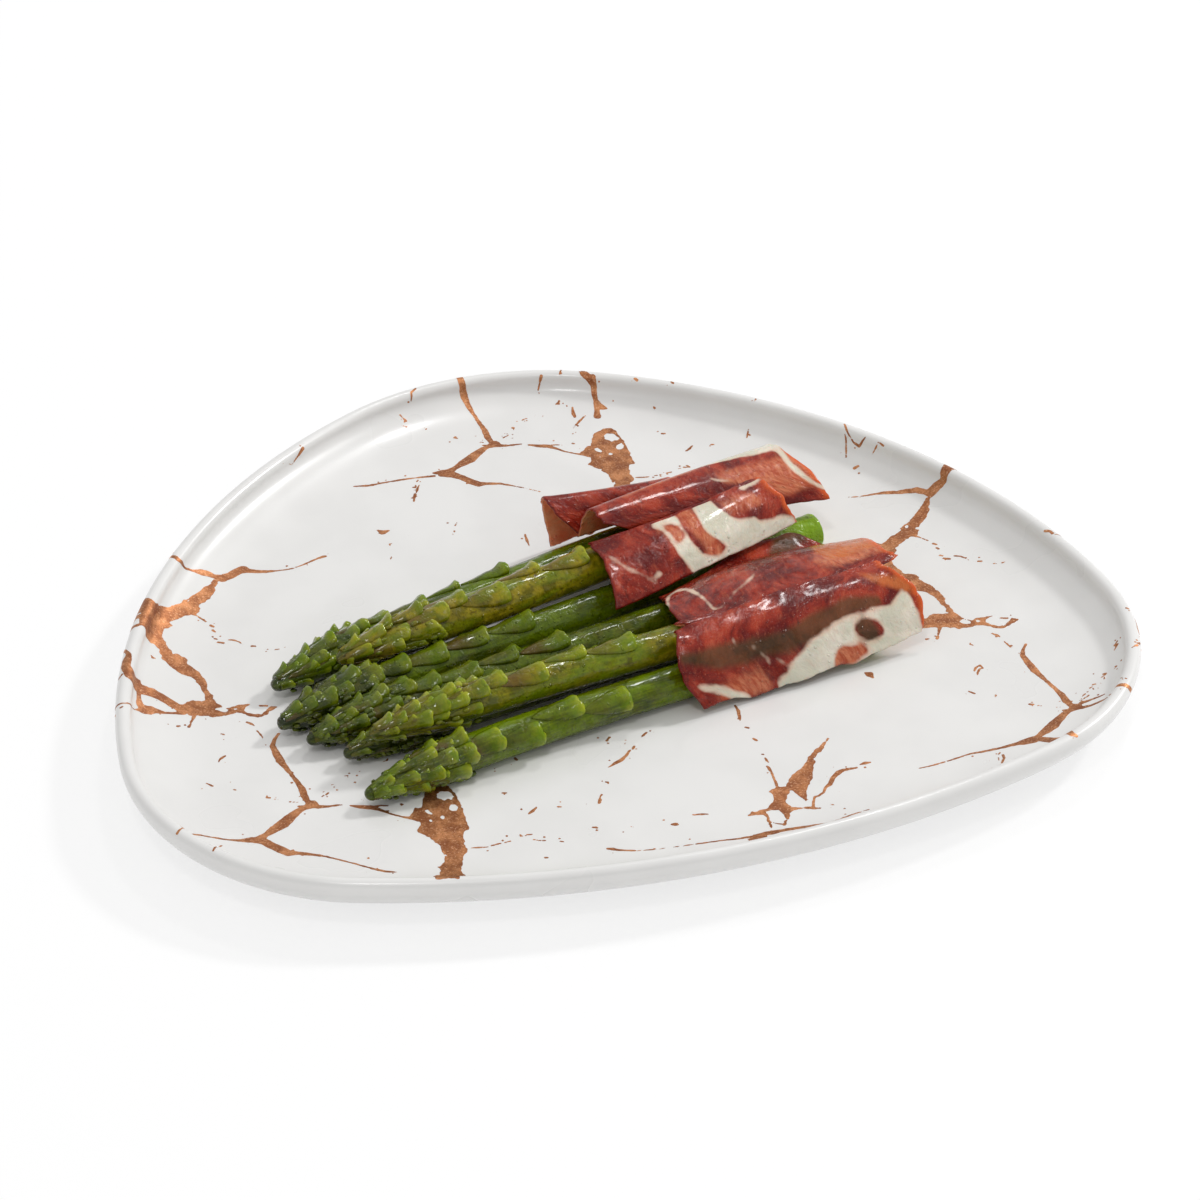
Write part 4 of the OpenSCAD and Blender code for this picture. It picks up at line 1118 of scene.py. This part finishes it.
def make_ham(which):
    """One slice: its underside lifted along its normal by the slice's thickness, both closed together at
    rounded edges, with slow ripples outwards; painted masks go with its points."""
    h = HAM[which]
    nu, nv = HAM_GRID
    u, v = np.linspace(0, 1, nu), np.linspace(-1, 1, nv)
    uu, vv = np.meshgrid(u, v, indexing="ij")
    first, final = worn_edge(v * 4.0, which, 1.0, 70), worn_edge(v * 4.0, which, 5.0, 71)
    back, front = worn_edge(u * 9.0, which, 9.0, 72)[:, None], worn_edge(u * 9.0, which, 13.0, 73)[:, None]
    uu = uu + (0.030 * first * (1 - uu) ** 6 - 0.035 * final * uu ** 6)
    eaten = HAM_RAGGED[which] * front * np.clip(vv, 0, 1) ** 4
    vv = vv + (0.05 * back * np.clip(-vv, 0, 1) ** 4 - eaten)
    form = wide_draped if which == WIDE_SLICE else draped
    p = form(h, uu, vv)
    e = 1e-3
    du = form(h, np.clip(uu + e, 0, 1), vv) - form(h, np.clip(uu - e, 0, 1), vv)
    dv = (p[:, np.minimum(np.arange(nv) + 1, nv - 1)] - p[:, np.maximum(np.arange(nv) - 1, 0)])
    normal = unit(np.cross(dv, du))
    if normal[nu // 2, nv // 2, 2] < 0:
        normal = -normal
    step_u = np.linalg.norm(np.diff(p, axis=0), axis=-1)
    step_v = np.linalg.norm(np.diff(p, axis=1), axis=-1)
    run_u = np.concatenate([np.zeros((1, nv)), np.cumsum(step_u, axis=0)])
    run_v = np.concatenate([np.zeros((nu, 1)), np.cumsum(step_v, axis=1)], axis=1)
    right = run_u[-1] - run_u
    edge = np.minimum(np.minimum(run_u, right), np.minimum(run_v, run_v[:, -1:] - run_v))
    soft = np.sqrt(np.clip(1 - (1 - np.clip(edge / HAM_ROUND, 0, 1)) ** 2, 0, 1))
    place = at(run_u, run_v, which * 31.0)
    slow = 0.5 + 0.5 * fractal(place / [9, 6, 1], 2, 40 + which)
    frill = 0.5 + 0.5 * noise(place / [4, 4, 1], 50 + which)
    near = 1 - smooth(0, 5, edge)
    ripple = HAM_RIPPLE[which] * (0.5 * slow + 0.5 * frill * near + 0.9 * near * near * slow)
    outer = p + normal * (HAM_EDGE + HAM_OUT * soft + ripple)[..., None]
    inner = p + normal * (HAM_EDGE - HAM_IN * soft + ripple * 0.8)[..., None]
    n = nu * nv
    low = np.arange(n).reshape(nu, nv)
    low[1:-1, 1:-1] = n + np.arange((nu - 2) * (nv - 2)).reshape(nu - 2, nv - 2)
    quads = grid_faces(nu, nv, False)
    faces = [quads, low.ravel()[quads][:, ::-1]]
    length, width = run_u[-1].mean(), run_v[:, -1].mean() / 2
    x, y = uu * length, vv * width
    scale = np.array([length, width, 1])

    def strokes(rows, start):
        for row in rows:
            start = np.maximum(start, stroke_depth(x, y, triples(row) * scale))
        return start

    nothing = np.full(uu.shape, -PAINT_DEPTH)
    fat = nothing
    for row in FAT[which]:
        fat = np.maximum(fat, polygon_depth(x, y, pairs(row) * scale[:2]))
    for row in LEAN[which]:
        fat = np.minimum(fat, -polygon_depth(x, y, pairs(row) * scale[:2]))
    painted = {"fat": softened(strokes(VEINS[which], fat), 10), "thin": strokes(THIN[which], nothing),
               "amber": strokes(AMBER[which], nothing), "rosy": strokes(ROSY[which], nothing)}

    def both(a):
        return np.concatenate([a.ravel(), a[1:-1, 1:-1].ravel()])

    side = np.concatenate([np.zeros(n), np.ones((nu - 2) * (nv - 2))])
    values = {name: both(np.clip(a, -PAINT_DEPTH, PAINT_DEPTH)) for name, a in painted.items()}
    values.update({"slice_place": np.stack([both(run_u), both(run_v), side * 0.8], -1) * MM + which * 0.2,
                   "edge": both(np.minimum(edge, 6)), "right": both(np.minimum(right, 6)), "inner": side})
    verts = np.concatenate([outer.reshape(-1, 3), inner[1:-1, 1:-1].reshape(-1, 3)])
    return mesh_object("ham_slice_%d_cured" % (which + 1), to_plate(verts), faces, values)


# Materials.

def rgb(r, g, b):
    """A screen colour from 0 to 255 as the linear colour that nodes take."""
    c = np.array([r, g, b]) / 255
    return tuple(np.where(c <= 0.04045, c / 12.92, ((c + 0.055) / 1.055) ** 2.4)) + (1.0,)


class Board:
    """A node tree with short calls to add nodes to it."""

    def __init__(self, tree):
        self.tree = tree

    def node(self, kind, ins=None, **props):
        n = self.tree.nodes.new(kind)
        for key, value in props.items():
            setattr(n, key, value)
        for key, value in (ins or {}).items():
            if isinstance(value, bpy.types.NodeSocket):
                self.tree.links.new(value, n.inputs[key])
            else:
                n.inputs[key].default_value = value
        return n

    def calc(self, op, a, b=0.0, c=0.0, clamp=False):
        return self.node("ShaderNodeMath", {0: a, 1: b, 2: c}, operation=op, use_clamp=clamp).outputs[0]

    def ramp(self, value, low, high, to_low=0.0, to_high=1.0):
        return self.node("ShaderNodeMapRange", {"Value": value, "From Min": low, "From Max": high,
                                                "To Min": to_low, "To Max": to_high},
                         interpolation_type="SMOOTHSTEP").outputs[0]

    def mix(self, share, a, b):
        return self.node("ShaderNodeMix", {0: share, 6: a, 7: b}, data_type="RGBA").outputs[2]

    def noise(self, where, scale, detail=3.0, rough=0.55, warp=0.0):
        return self.node("ShaderNodeTexNoise", {"Vector": where, "Scale": scale, "Detail": detail,
                                                "Roughness": rough, "Distortion": warp}).outputs[0]

    def cells(self, where, scale, feature="F1", rand=1.0):
        return self.node("ShaderNodeTexVoronoi", {"Vector": where, "Scale": scale, "Randomness": rand},
                         feature=feature).outputs["Distance"]

    def stretched(self, where, x, y, z):
        return self.node("ShaderNodeMapping", {"Vector": where, "Scale": (x, y, z)}).outputs[0]

    def value(self, name):
        return self.node("ShaderNodeAttribute", attribute_name=name).outputs["Fac"]

    def vector(self, name):
        return self.node("ShaderNodeAttribute", attribute_name=name).outputs["Vector"]

    def bump(self, height, strength, distance, normal=None):
        ins = {"Height": height, "Strength": strength, "Distance": distance}
        if normal is not None:
            ins["Normal"] = normal
        return self.node("ShaderNodeBump", ins).outputs[0]

    def group(self, tree, ins):
        return self.node("ShaderNodeGroup", ins, node_tree=tree).outputs


def new_group(name, ins, outs):
    """An empty node group with named inputs (name, kind, default) and outputs (name, kind)."""
    tree = bpy.data.node_groups.new(name, "ShaderNodeTree")
    for key, kind, start in ins:
        s = tree.interface.new_socket(name=key, in_out="INPUT", socket_type=kind)
        if start is not None:
            s.default_value = start
    for key, kind in outs:
        tree.interface.new_socket(name=key, in_out="OUTPUT", socket_type=kind)
    b = Board(tree)
    return b, tree.nodes.new("NodeGroupInput").outputs, tree.nodes.new("NodeGroupOutput").inputs


def finish_material(name):
    """A new material's board and its Principled shader, joined to the output."""
    m = bpy.data.materials.new(name)
    m.use_nodes = True
    m.node_tree.nodes.clear()
    b = Board(m.node_tree)
    s = b.node("ShaderNodeBsdfPrincipled")
    out = b.node("ShaderNodeOutputMaterial")
    m.node_tree.links.new(s.outputs[0], out.inputs[0])
    return m, b, s


def make_oily_film():
    """Oil on food: wet runs and droplets as a height, and where the film is thick the skin is smoother."""
    b, i, o = new_group("oily_film", [("Where", "NodeSocketVector", None), ("Scale", "NodeSocketFloat", 1.0),
                                      ("Wet", "NodeSocketFloat", 0.6)],
                        [("Height", "NodeSocketFloat"), ("Roughness", "NodeSocketFloat"),
                         ("Coat", "NodeSocketFloat")])
    run_scale = b.calc("MULTIPLY", i["Scale"], 330.0)
    runs = b.noise(i["Where"], run_scale, 3.0, 0.5, 0.6)
    beads = b.ramp(b.cells(i["Where"], b.calc("MULTIPLY", i["Scale"], 620.0)), 0.32, 0.08)
    few = b.ramp(b.noise(i["Where"], run_scale, 1.0), 0.52, 0.66)
    beads = b.calc("MULTIPLY", b.calc("MULTIPLY", beads, few), 0.7)
    film = b.calc("MULTIPLY", b.ramp(runs, 0.30, 0.62), i["Wet"])
    rough = b.calc("SUBTRACT", 0.32, b.calc("MULTIPLY", film, 0.24))
    b.tree.links.new(b.calc("ADD", b.calc("MULTIPLY", runs, 0.8), beads), o["Height"])
    b.tree.links.new(b.calc("MAXIMUM", 0.06, rough), o["Roughness"])
    b.tree.links.new(b.calc("MULTIPLY", film, 0.60, clamp=True), o["Coat"])
    return b.tree


def make_fine_grain():
    """A fine grain: two sizes of noise mixed, as a height, and a mask of its brightest grains."""
    b, i, o = new_group("fine_grain", [("Where", "NodeSocketVector", None),
                                       ("Scale", "NodeSocketFloat", 1000.0)],
                        [("Height", "NodeSocketFloat"), ("Sparkle", "NodeSocketFloat")])
    big = b.noise(i["Where"], i["Scale"], 2.0, 0.6)
    small = b.noise(i["Where"], b.calc("MULTIPLY", i["Scale"], 3.1), 2.0, 0.7)
    both = b.calc("ADD", b.calc("MULTIPLY", big, 0.55), b.calc("MULTIPLY", small, 0.45))
    b.tree.links.new(both, o["Height"])
    b.tree.links.new(b.ramp(both, 0.53, 0.66), o["Sparkle"])
    return b.tree


OILY = make_oily_film()
GRAIN = make_fine_grain()


def satin_porcelain():
    """Satin white glaze with a faint waviness and the odd pin-hole; the foot is left bare and rougher."""
    m, b, s = finish_material("satin_white_glaze")
    where = b.node("ShaderNodeTexCoord").outputs["Object"]
    slow = b.noise(where, 38.0, 2.0, 0.5)
    grain = b.group(GRAIN, {"Where": where, "Scale": 900.0})
    bare = b.value("bare")
    glaze = b.mix(b.ramp(slow, 0.35, 0.65), rgb(231, 230, 228), rgb(235, 234, 232))
    pin = b.ramp(b.cells(where, 210.0), 0.035, 0.015)
    glaze = b.mix(b.calc("MULTIPLY", pin, 0.35), glaze, rgb(196, 192, 186))
    clay = b.mix(grain["Height"], rgb(214, 206, 194), rgb(226, 220, 210))
    b.tree.links.new(b.mix(bare, glaze, clay), s.inputs["Base Color"])
    rough = b.calc("ADD", b.ramp(slow, 0.3, 0.7, 0.27, 0.34), b.calc("MULTIPLY", bare, 0.5), clamp=True)
    b.tree.links.new(rough, s.inputs["Roughness"])
    b.tree.links.new(b.calc("SUBTRACT", 0.25, b.calc("MULTIPLY", bare, 0.25)), s.inputs["Coat Weight"])
    s.inputs["Coat Roughness"].default_value = 0.14
    wave = b.bump(slow, 0.25, 0.0006)
    gritty = b.calc("ADD", 0.03, b.calc("MULTIPLY", bare, 0.5))
    b.tree.links.new(b.bump(grain["Height"], gritty, 0.0001, wave), s.inputs["Normal"])
    return m


def rose_copper():
    """Rose-copper lustre: metal with a fine sparkling grain, darker and duller where it is worn thin."""
    m, b, s = finish_material("rose_copper_lustre")
    where = b.node("ShaderNodeTexCoord").outputs["Object"]
    grain = b.group(GRAIN, {"Where": where, "Scale": 1500.0})
    worn = b.noise(where, 210.0, 4.0, 0.65)
    base = b.mix(b.ramp(worn, 0.34, 0.68), rgb(152, 90, 54), rgb(212, 148, 102))
    base = b.mix(b.calc("MULTIPLY", grain["Sparkle"], 0.75), base, rgb(240, 196, 158))
    dark = b.ramp(grain["Height"], 0.46, 0.36)
    base = b.mix(b.calc("MULTIPLY", dark, 0.45), base, rgb(96, 52, 34))
    b.tree.links.new(base, s.inputs["Base Color"])
    b.tree.links.new(b.ramp(worn, 0.25, 0.55, 0.55, 0.92), s.inputs["Metallic"])
    b.tree.links.new(b.calc("ADD", 0.36, b.calc("MULTIPLY", worn, 0.22)), s.inputs["Roughness"])
    b.tree.links.new(b.bump(grain["Height"], 0.55, 0.00018), s.inputs["Normal"])
    return m


def cooked_asparagus():
    """Asparagus skin: lengthwise fibres and blotches of green, olive and scorched brown; scales bright
    yellow-green at the raised root and olive to purple-brown towards their points, all under oil; the
    crevices of the head are darkened with painted shade."""
    m, b, s = finish_material("cooked_asparagus")
    place = b.vector("straight")
    leaf, toward, look, head = b.value("leaf"), b.value("toward"), b.value("look"), b.value("head")
    olive, dark, flesh = b.value("olive"), b.value("dark"), b.value("flesh")
    fibre = b.noise(b.stretched(place, 0.07, 1.0, 1.0), 1900.0, 4.0, 0.6)
    long_blotch = b.noise(b.stretched(place, 0.28, 1.0, 1.0), 170.0, 3.0, 0.55, 0.4)
    blotch = b.noise(place, 260.0, 4.0, 0.6)
    fine = b.noise(place, 1400.0, 3.0, 0.6)
    green = b.mix(b.ramp(long_blotch, 0.36, 0.62), rgb(44, 68, 0), rgb(98, 122, 0))
    green = b.mix(b.calc("MULTIPLY", b.ramp(fibre, 0.46, 0.68), 0.40), green, rgb(126, 146, 12))
    green = b.mix(b.calc("MULTIPLY", b.ramp(fine, 0.50, 0.32), 0.40), green, rgb(28, 44, 0))
    brown = b.mix(b.ramp(blotch, 0.4, 0.6), rgb(118, 104, 4), rgb(174, 152, 26))
    some = b.calc("MULTIPLY", olive, b.ramp(long_blotch, 0.62, 0.36, 0.35, 1.0))
    skin = b.mix(some, green, brown)
    shade = b.calc("MULTIPLY", dark, b.calc("ADD", 0.45, b.calc("MULTIPLY", head, 0.35)))
    skin = b.mix(b.calc("MULTIPLY", shade, b.ramp(blotch, 0.66, 0.40, 0.5, 1.0)), skin, rgb(20, 34, 0))
    browned = b.calc("ADD", 0.25, b.calc("MULTIPLY", olive, 0.6))
    skin = b.mix(b.calc("MULTIPLY", b.ramp(blotch, 0.60, 0.72), browned), skin, rgb(58, 38, 12))
    bright = b.mix(b.ramp(blotch, 0.38, 0.62), rgb(112, 142, 4), rgb(176, 186, 36))
    uneven = b.calc("SUBTRACT", blotch, 0.5)
    rooty = b.ramp(b.calc("ADD", toward, b.calc("MULTIPLY", uneven, 0.35)), 0.34, 0.02)
    rooty = b.calc("MULTIPLY", leaf, rooty)
    pointy = b.ramp(b.calc("ADD", toward, b.calc("MULTIPLY", uneven, 0.6)), 0.25, 0.75)
    pointy = b.calc("MULTIPLY", leaf, pointy)
    tipped = b.mix(b.ramp(look, 0.3, 0.9), rgb(80, 84, 10), rgb(78, 52, 24))
    tipped = b.mix(olive, tipped, rgb(112, 86, 30))
    skin = b.mix(b.calc("MULTIPLY", pointy, b.ramp(look, 0.0, 0.9, 0.20, 0.80)), skin, tipped)
    dimmed = b.mix(b.calc("MULTIPLY", dark, 0.6), bright, rgb(60, 78, 2))
    dimmed = b.mix(b.calc("MULTIPLY", olive, 0.4), dimmed, rgb(156, 148, 44))
    skin = b.mix(b.calc("MULTIPLY", rooty, 0.85), skin, dimmed)
    # Painted shade: crevices between the scales and buds are darkened towards a near-black green.
    shaded = b.calc("ADD", 0.62, b.calc("MULTIPLY", dark, 0.38))
    shaded = b.calc("MULTIPLY", b.ramp(blotch, 0.70, 0.35, 0.62, 0.95), shaded)
    skin = b.mix(b.calc("MULTIPLY", b.value("crevice_shade"), shaded), skin, rgb(18, 26, 0))
    pale = b.mix(b.ramp(fine, 0.4, 0.6), rgb(176, 186, 110), rgb(206, 208, 146))
    cut_end = b.mix(fine, rgb(126, 172, 16), rgb(156, 196, 46))
    skin = b.mix(b.calc("MULTIPLY", b.value("butt"), 0.75), skin, cut_end)
    skin = b.mix(flesh, skin, pale)
    b.tree.links.new(skin, s.inputs["Base Color"])
    wet = b.calc("ADD", 0.9, b.calc("MULTIPLY", head, 0.35))
    oil = b.group(OILY, {"Where": place, "Scale": 1.0, "Wet": wet})
    b.tree.links.new(oil["Roughness"], s.inputs["Roughness"])
    b.tree.links.new(oil["Coat"], s.inputs["Coat Weight"])
    s.inputs["Coat Roughness"].default_value = 0.05
    s.inputs["Coat IOR"].default_value = 1.47
    s.inputs["Specular IOR Level"].default_value = 0.20
    s.inputs["Subsurface Weight"].default_value = 0.10
    s.inputs["Subsurface Radius"].default_value = (0.5, 0.8, 0.2)
    s.inputs["Subsurface Scale"].default_value = 0.002
    n = b.bump(fibre, 0.30, 0.0003)
    warty = b.calc("ADD", 0.10, b.calc("MULTIPLY", head, 0.20))
    n = b.bump(b.noise(place, 900.0, 3.0, 0.6), warty, 0.0004, n)
    b.tree.links.new(b.bump(oil["Height"], 0.7, 0.0012, n), s.inputs["Normal"])
    return m


def cured_ham():
    """Cured ham: red lean with darker grain and fine pale fibres, crisp-edged fat, amber and see-through
    places, a dark rim, and an oily gloss. Painted light on it: undersides painted bright orange as if lit
    through, a painted glow at the right ends, and a painted sheen band along the second slice's crest."""
    m, b, s = finish_material("cured_ham")
    place = b.vector("slice_place")
    fat, thin, amber = b.value("fat"), b.value("thin"), b.value("amber")
    edge, right, inner = b.value("edge"), b.value("right"), b.value("inner")
    slow = b.noise(place, 95.0, 4.0, 0.6, 0.5)
    grain = b.noise(b.stretched(place, 1.0, 0.35, 1.0), 620.0, 4.0, 0.65, 0.4)
    fine = b.noise(place, 2300.0, 3.0, 0.65)
    lean = b.mix(b.ramp(slow, 0.34, 0.66), rgb(98, 8, 4), rgb(164, 48, 26))
    lean = b.mix(b.calc("MULTIPLY", b.ramp(grain, 0.52, 0.72), 0.30), lean, rgb(200, 104, 70))
    lean = b.mix(b.calc("MULTIPLY", b.ramp(grain, 0.47, 0.30), 0.55), lean, rgb(66, 4, 4))
    speck = b.ramp(fine, 0.60, 0.72)
    lean = b.mix(b.calc("MULTIPLY", speck, 0.5), lean, rgb(228, 170, 142))
    scatter = b.node("ShaderNodeTexNoise", {"Vector": place, "Scale": 300.0}).outputs["Color"]
    web = b.cells(b.mix(0.12, place, scatter), 210.0, "DISTANCE_TO_EDGE")
    thread = b.calc("MULTIPLY", b.ramp(web, 0.05, 0.0), b.ramp(slow, 0.50, 0.64))
    lean = b.mix(b.calc("MULTIPLY", thread, 0.55), lean, rgb(218, 140, 104))
    under = b.mix(b.ramp(slow, 0.3, 0.7), rgb(58, 44, 18), rgb(104, 66, 38))
    rag = b.calc("MULTIPLY", b.calc("SUBTRACT", b.noise(place, 230.0, 2.0, 0.45), 0.5), 1.3)
    wide_rag = b.calc("MULTIPLY", b.calc("SUBTRACT", slow, 0.5), 3.0)
    rosy = b.mix(b.ramp(grain, 0.35, 0.65), rgb(186, 84, 50), rgb(220, 138, 98))
    flushed = b.ramp(b.calc("ADD", b.value("rosy"), wide_rag), -1.2, 1.6)
    lean = b.mix(b.calc("MULTIPLY", flushed, 0.75), lean, rosy)
    seen = b.ramp(b.calc("ADD", thin, wide_rag), -0.6, 1.2)
    lean = b.mix(b.calc("MULTIPLY", seen, 0.88), lean, under)
    gold = b.mix(grain, rgb(196, 96, 44), rgb(224, 134, 66))
    lean = b.mix(b.calc("MULTIPLY", b.ramp(b.calc("ADD", amber, wide_rag), -0.8, 1.6), 0.7), lean, gold)
    white = b.mix(b.ramp(slow, 0.35, 0.65), rgb(212, 208, 188), rgb(236, 227, 210))
    white = b.mix(b.calc("MULTIPLY", b.ramp(grain, 0.5, 0.72), 0.35), white, rgb(206, 180, 158))
    white = b.mix(b.calc("MULTIPLY", b.ramp(fat, 0.9, 0.1), 0.45), white, rgb(222, 168, 138))
    color = b.mix(b.ramp(b.calc("ADD", fat, rag), -0.30, 0.42), lean, white)
    rim = b.calc("MULTIPLY", b.ramp(edge, 0.9, 0.15), 0.55)
    color = b.mix(b.calc("MULTIPLY", rim, b.ramp(fat, 0.3, -0.3)), color, rgb(112, 16, 14))
    # Painted glow: the lean near each slice's right end, on the side towards the lamp, is painted orange as
    # if lit through.
    painted_end_glow = b.calc("MULTIPLY", b.ramp(b.calc("ADD", right, b.calc("MULTIPLY", rag, 0.6)), 2.8, 0.5), 0.8)
    color = b.mix(b.calc("MULTIPLY", painted_end_glow, b.ramp(fat, 0.3, -0.3)), color, rgb(222, 98, 38))
    # Painted light: the slice's underside is painted bright orange, as if light shone through the thin slice.
    inside = b.mix(b.ramp(slow, 0.3, 0.7), rgb(252, 134, 88), rgb(255, 184, 134))
    color = b.mix(b.calc("MULTIPLY", inner, 0.9), color, inside)
    b.tree.links.new(color, s.inputs["Base Color"])
    oil = b.group(OILY, {"Where": place, "Scale": 0.9, "Wet": 0.75})
    b.tree.links.new(b.calc("ADD", oil["Roughness"], 0.03), s.inputs["Roughness"])
    b.tree.links.new(oil["Coat"], s.inputs["Coat Weight"])
    s.inputs["Coat Roughness"].default_value = 0.10
    s.inputs["Coat IOR"].default_value = 1.47
    s.inputs["Specular IOR Level"].default_value = 0.20
    s.inputs["Subsurface Weight"].default_value = 0.15
    s.inputs["Subsurface Radius"].default_value = (1.0, 0.35, 0.2)
    s.inputs["Subsurface Scale"].default_value = 0.0015
    n = b.bump(grain, 0.30, 0.0003)
    n = b.bump(fine, 0.25, 0.00015, n)
    b.tree.links.new(b.bump(oil["Height"], 0.6, 0.0009, n), s.inputs["Normal"])
    return m


def table_top():
    """A plain white table: mostly white where the camera sees it, so that only a soft shadow shows."""
    m = bpy.data.materials.new("plain_white_table")
    m.use_nodes = True
    m.node_tree.nodes.clear()
    b = Board(m.node_tree)
    path = b.node("ShaderNodeLightPath")
    seen = b.calc("MAXIMUM", path.outputs["Is Camera Ray"],
                  b.calc("MAXIMUM", path.outputs["Is Glossy Ray"], path.outputs["Is Transmission Ray"]))
    matt = b.node("ShaderNodeBsdfDiffuse", {"Color": (0.96, 0.96, 0.96, 1)})
    white = b.node("ShaderNodeEmission", {"Color": (1, 1, 1, 1), "Strength": 1.02})
    both = b.node("ShaderNodeMixShader", {0: b.calc("MULTIPLY", seen, 0.72), 1: matt.outputs[0],
                                          2: white.outputs[0]})
    out = b.node("ShaderNodeOutputMaterial")
    m.node_tree.links.new(both.outputs[0], out.inputs[0])
    return m


# The object put together.

def dress(obj, material, body, node):
    """Gives a piece its material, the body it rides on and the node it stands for."""
    obj.data.materials.append(material)
    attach(obj, body)
    if node:
        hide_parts(node)


glaze, copper, green_skin, ham_meat = satin_porcelain(), rose_copper(), cooked_asparagus(), cured_ham()
dress(make_plate(), glaze, "plate", "plate")
dress(make_crackle(), copper, "plate", None)
for i in range(len(SPEARS)):
    dress(make_spear(i), green_skin, SPEAR_BODIES[i], "spear_%d" % (i + 1))
for i in range(len(HAM)):
    dress(make_ham(i), ham_meat, "ham_%d" % (i + 1), "ham_slice_%d" % (i + 1))


# Table, light and camera.

FLOOR_REACH = 6000.0
FLOOR_CORNERS = np.array([[-1, -1, 0], [1, -1, 0], [1, 1, 0], [-1, 1, 0]]) * FLOOR_REACH
floor = mesh_object("white_table", FLOOR_CORNERS, [np.array([[0, 1, 2, 3]])])
floor.data.materials.append(table_top())

# Each lamp's place and side (metres) and its power (watts).
LAMPS = {"window_light": ((3.1, 0.85, 2.6), 0.42, 66.0),
         "small_back_light": ((1.14, 1.32, 2.68), 0.30, 11.0),
         "small_front_light": ((-0.55, -0.9, 2.1), 0.24, 6.5)}


def aim(obj, place, target):
    """Puts a lamp or camera at a place and turns it to face a point."""
    obj.location = place
    obj.rotation_euler = (Vector(target) - Vector(place)).to_track_quat("-Z", "Y").to_euler()
    bpy.context.scene.collection.objects.link(obj)


def square_lamp(name, place, size, power):
    """A square lamp that faces the plate's middle."""
    data = bpy.data.lights.new(name, "AREA")
    data.size = size
    data.energy = power
    aim(bpy.data.objects.new(name, data), place, (0, 0, 0))


for lamp_name, (lamp_place, lamp_side, lamp_power) in LAMPS.items():
    square_lamp(lamp_name, lamp_place, lamp_side, lamp_power)

world = bpy.data.worlds.new("white_room")
bpy.context.scene.world = world
world.use_nodes = True
world.node_tree.nodes.clear()
w = Board(world.node_tree)
sky = w.node("ShaderNodeBackground", {"Color": (1, 1, 1, 1), "Strength": 0.57})
end = w.node("ShaderNodeOutputWorld")
world.node_tree.links.new(sky.outputs[0], end.inputs[0])

camera = bpy.data.cameras.new("camera")
camera.lens = CAMERA_LENS
camera.sensor_width = 36.0
camera.clip_start = 0.01
camera.clip_end = 100.0
viewer = bpy.data.objects.new("camera", camera)
aim(viewer, CAMERA_AT, CAMERA_LOOKS_AT)
bpy.context.scene.camera = viewer
bpy.context.scene.view_settings.view_transform = "Standard"
